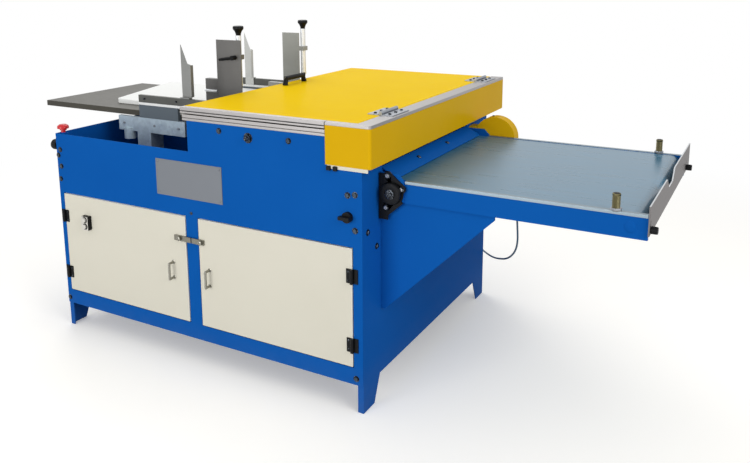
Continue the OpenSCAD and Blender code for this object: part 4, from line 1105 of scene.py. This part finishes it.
drive_chain()

# Cable glands: black nylon glands with a ribbed dome nut.
# One is screwed in under the rear rail and one into the back panel.
# Mouth of each gland, the way its nut goes in, and the nut's radius
GLANDS_MM = (((1452, 812, 625), UPWARD, 9.4), ((1184, 1024, 180), FRONTWARD, 11.4))


def cable_glands():
    nuts = []
    for at, toward, radius in GLANDS_MM:
        nuts.append(turned("gland_nut", at, toward,
                           [(0.2, 4.2), (0.6, radius - 2.5), (3, radius - 0.6), (5, radius), (9, radius),
                            (9.6, radius - 0.8)], 12, BLACK_NYLON))
    broken_edges("cable_glands", BLACK_NYLON, 1.0, 2, nuts)


cable_glands()

# Floor and light: a white studio floor that fades into a white background, and large soft lamps.
# The key lamp stands behind the left end, so the shadow falls to the front right.
FLOOR_M, FLOOR_Z_M, FADE_M = 40, -0.0005, (1.5, 3.4)
FLOOR_LIFT, AMBIENT = 0.26, 0.54
LAMP_AIM_M = (0, 0, 0.6)
# Name, place in metres, size in metres and power in watts
LAMPS = (("key_lamp", (-2.0, 1.6, 3.6), 2.6, 60), ("front_lamp", (-0.6, -4.4, 1.2), 2.4, 78),
         ("right_lamp", (3.4, -1.4, 2.4), 2.0, 52))
WHITE = linear("#FFFFFF")


def seen_directly(tree):
    """1 for rays that show the background: to the camera, in a reflection or through glass."""
    rays = add_node(tree, "ShaderNodeLightPath").outputs
    seen = add_node(tree, "ShaderNodeMath", {0: rays["Is Camera Ray"], 1: rays["Is Glossy Ray"]},
                    operation="MAXIMUM").outputs["Value"]
    return add_node(tree, "ShaderNodeMath", {0: seen, 1: rays["Is Transmission Ray"]},
                    operation="MAXIMUM").outputs["Value"]


def floor_paint():
    # Matt paper: white where it is looked at, grey in the light that it throws back at the part
    finish, tree, shader, where = new_finish("white_floor", {"Roughness": 0.95, "Specular IOR Level": 0.0})
    far = add_node(tree, "ShaderNodeVectorMath", {0: where}, operation="LENGTH")
    fade = add_node(tree, "ShaderNodeMapRange", {"Value": far.outputs["Value"], "From Min": FADE_M[0],
                                                 "From Max": FADE_M[1]}, interpolation_type="SMOOTHSTEP")
    seen = seen_directly(tree)
    mixed_colour(tree, shader, seen, "#B4B4B4", "#F8F6F1")
    lift = product(tree, seen, FLOOR_LIFT)
    glow = add_node(tree, "ShaderNodeEmission", {"Color": WHITE, "Strength": lift})
    near = add_node(tree, "ShaderNodeAddShader", {0: shader.outputs["BSDF"], 1: glow.outputs["Emission"]})
    white = add_node(tree, "ShaderNodeEmission", {"Color": WHITE, "Strength": 1.0})
    both = add_node(tree, "ShaderNodeMixShader", {0: product(tree, fade.outputs["Result"], seen),
                                                  1: near.outputs["Shader"], 2: white.outputs["Emission"]})
    tree.links.new(both.outputs["Shader"], tree.nodes["Material Output"].inputs["Surface"])
    return finish


def white_floor():
    bpy.ops.object.select_all(action="DESELECT")
    bpy.ops.mesh.primitive_plane_add(size=FLOOR_M, location=(0, 0, FLOOR_Z_M))
    floor = bpy.context.object
    floor.name = "studio_floor"
    floor.data.materials.append(floor_paint())


def soft_light():
    world = bpy.data.worlds.new("studio_white")
    bpy.context.scene.world = world
    world.use_nodes = True
    tree = world.node_tree
    tree.nodes.clear()
    soft = add_node(tree, "ShaderNodeBackground", {"Color": linear("#F7F7F6"), "Strength": AMBIENT})
    white = add_node(tree, "ShaderNodeBackground", {"Color": WHITE, "Strength": 1.0})
    both = add_node(tree, "ShaderNodeMixShader", {0: seen_directly(tree), 1: soft.outputs["Background"],
                                                  2: white.outputs["Background"]})
    add_node(tree, "ShaderNodeOutputWorld", {"Surface": both.outputs["Shader"]})
    for name, at, size, watts in LAMPS:
        bpy.ops.object.light_add(type="AREA", location=at)
        lamp = bpy.context.object
        lamp.name = name
        lamp.data.size = size
        lamp.data.energy = watts
        lamp.rotation_euler = (Vector(LAMP_AIM_M) - Vector(at)).to_track_quat("-Z", "Y").to_euler()
    bpy.context.scene.view_settings.view_transform = "Standard"


white_floor()
soft_light()
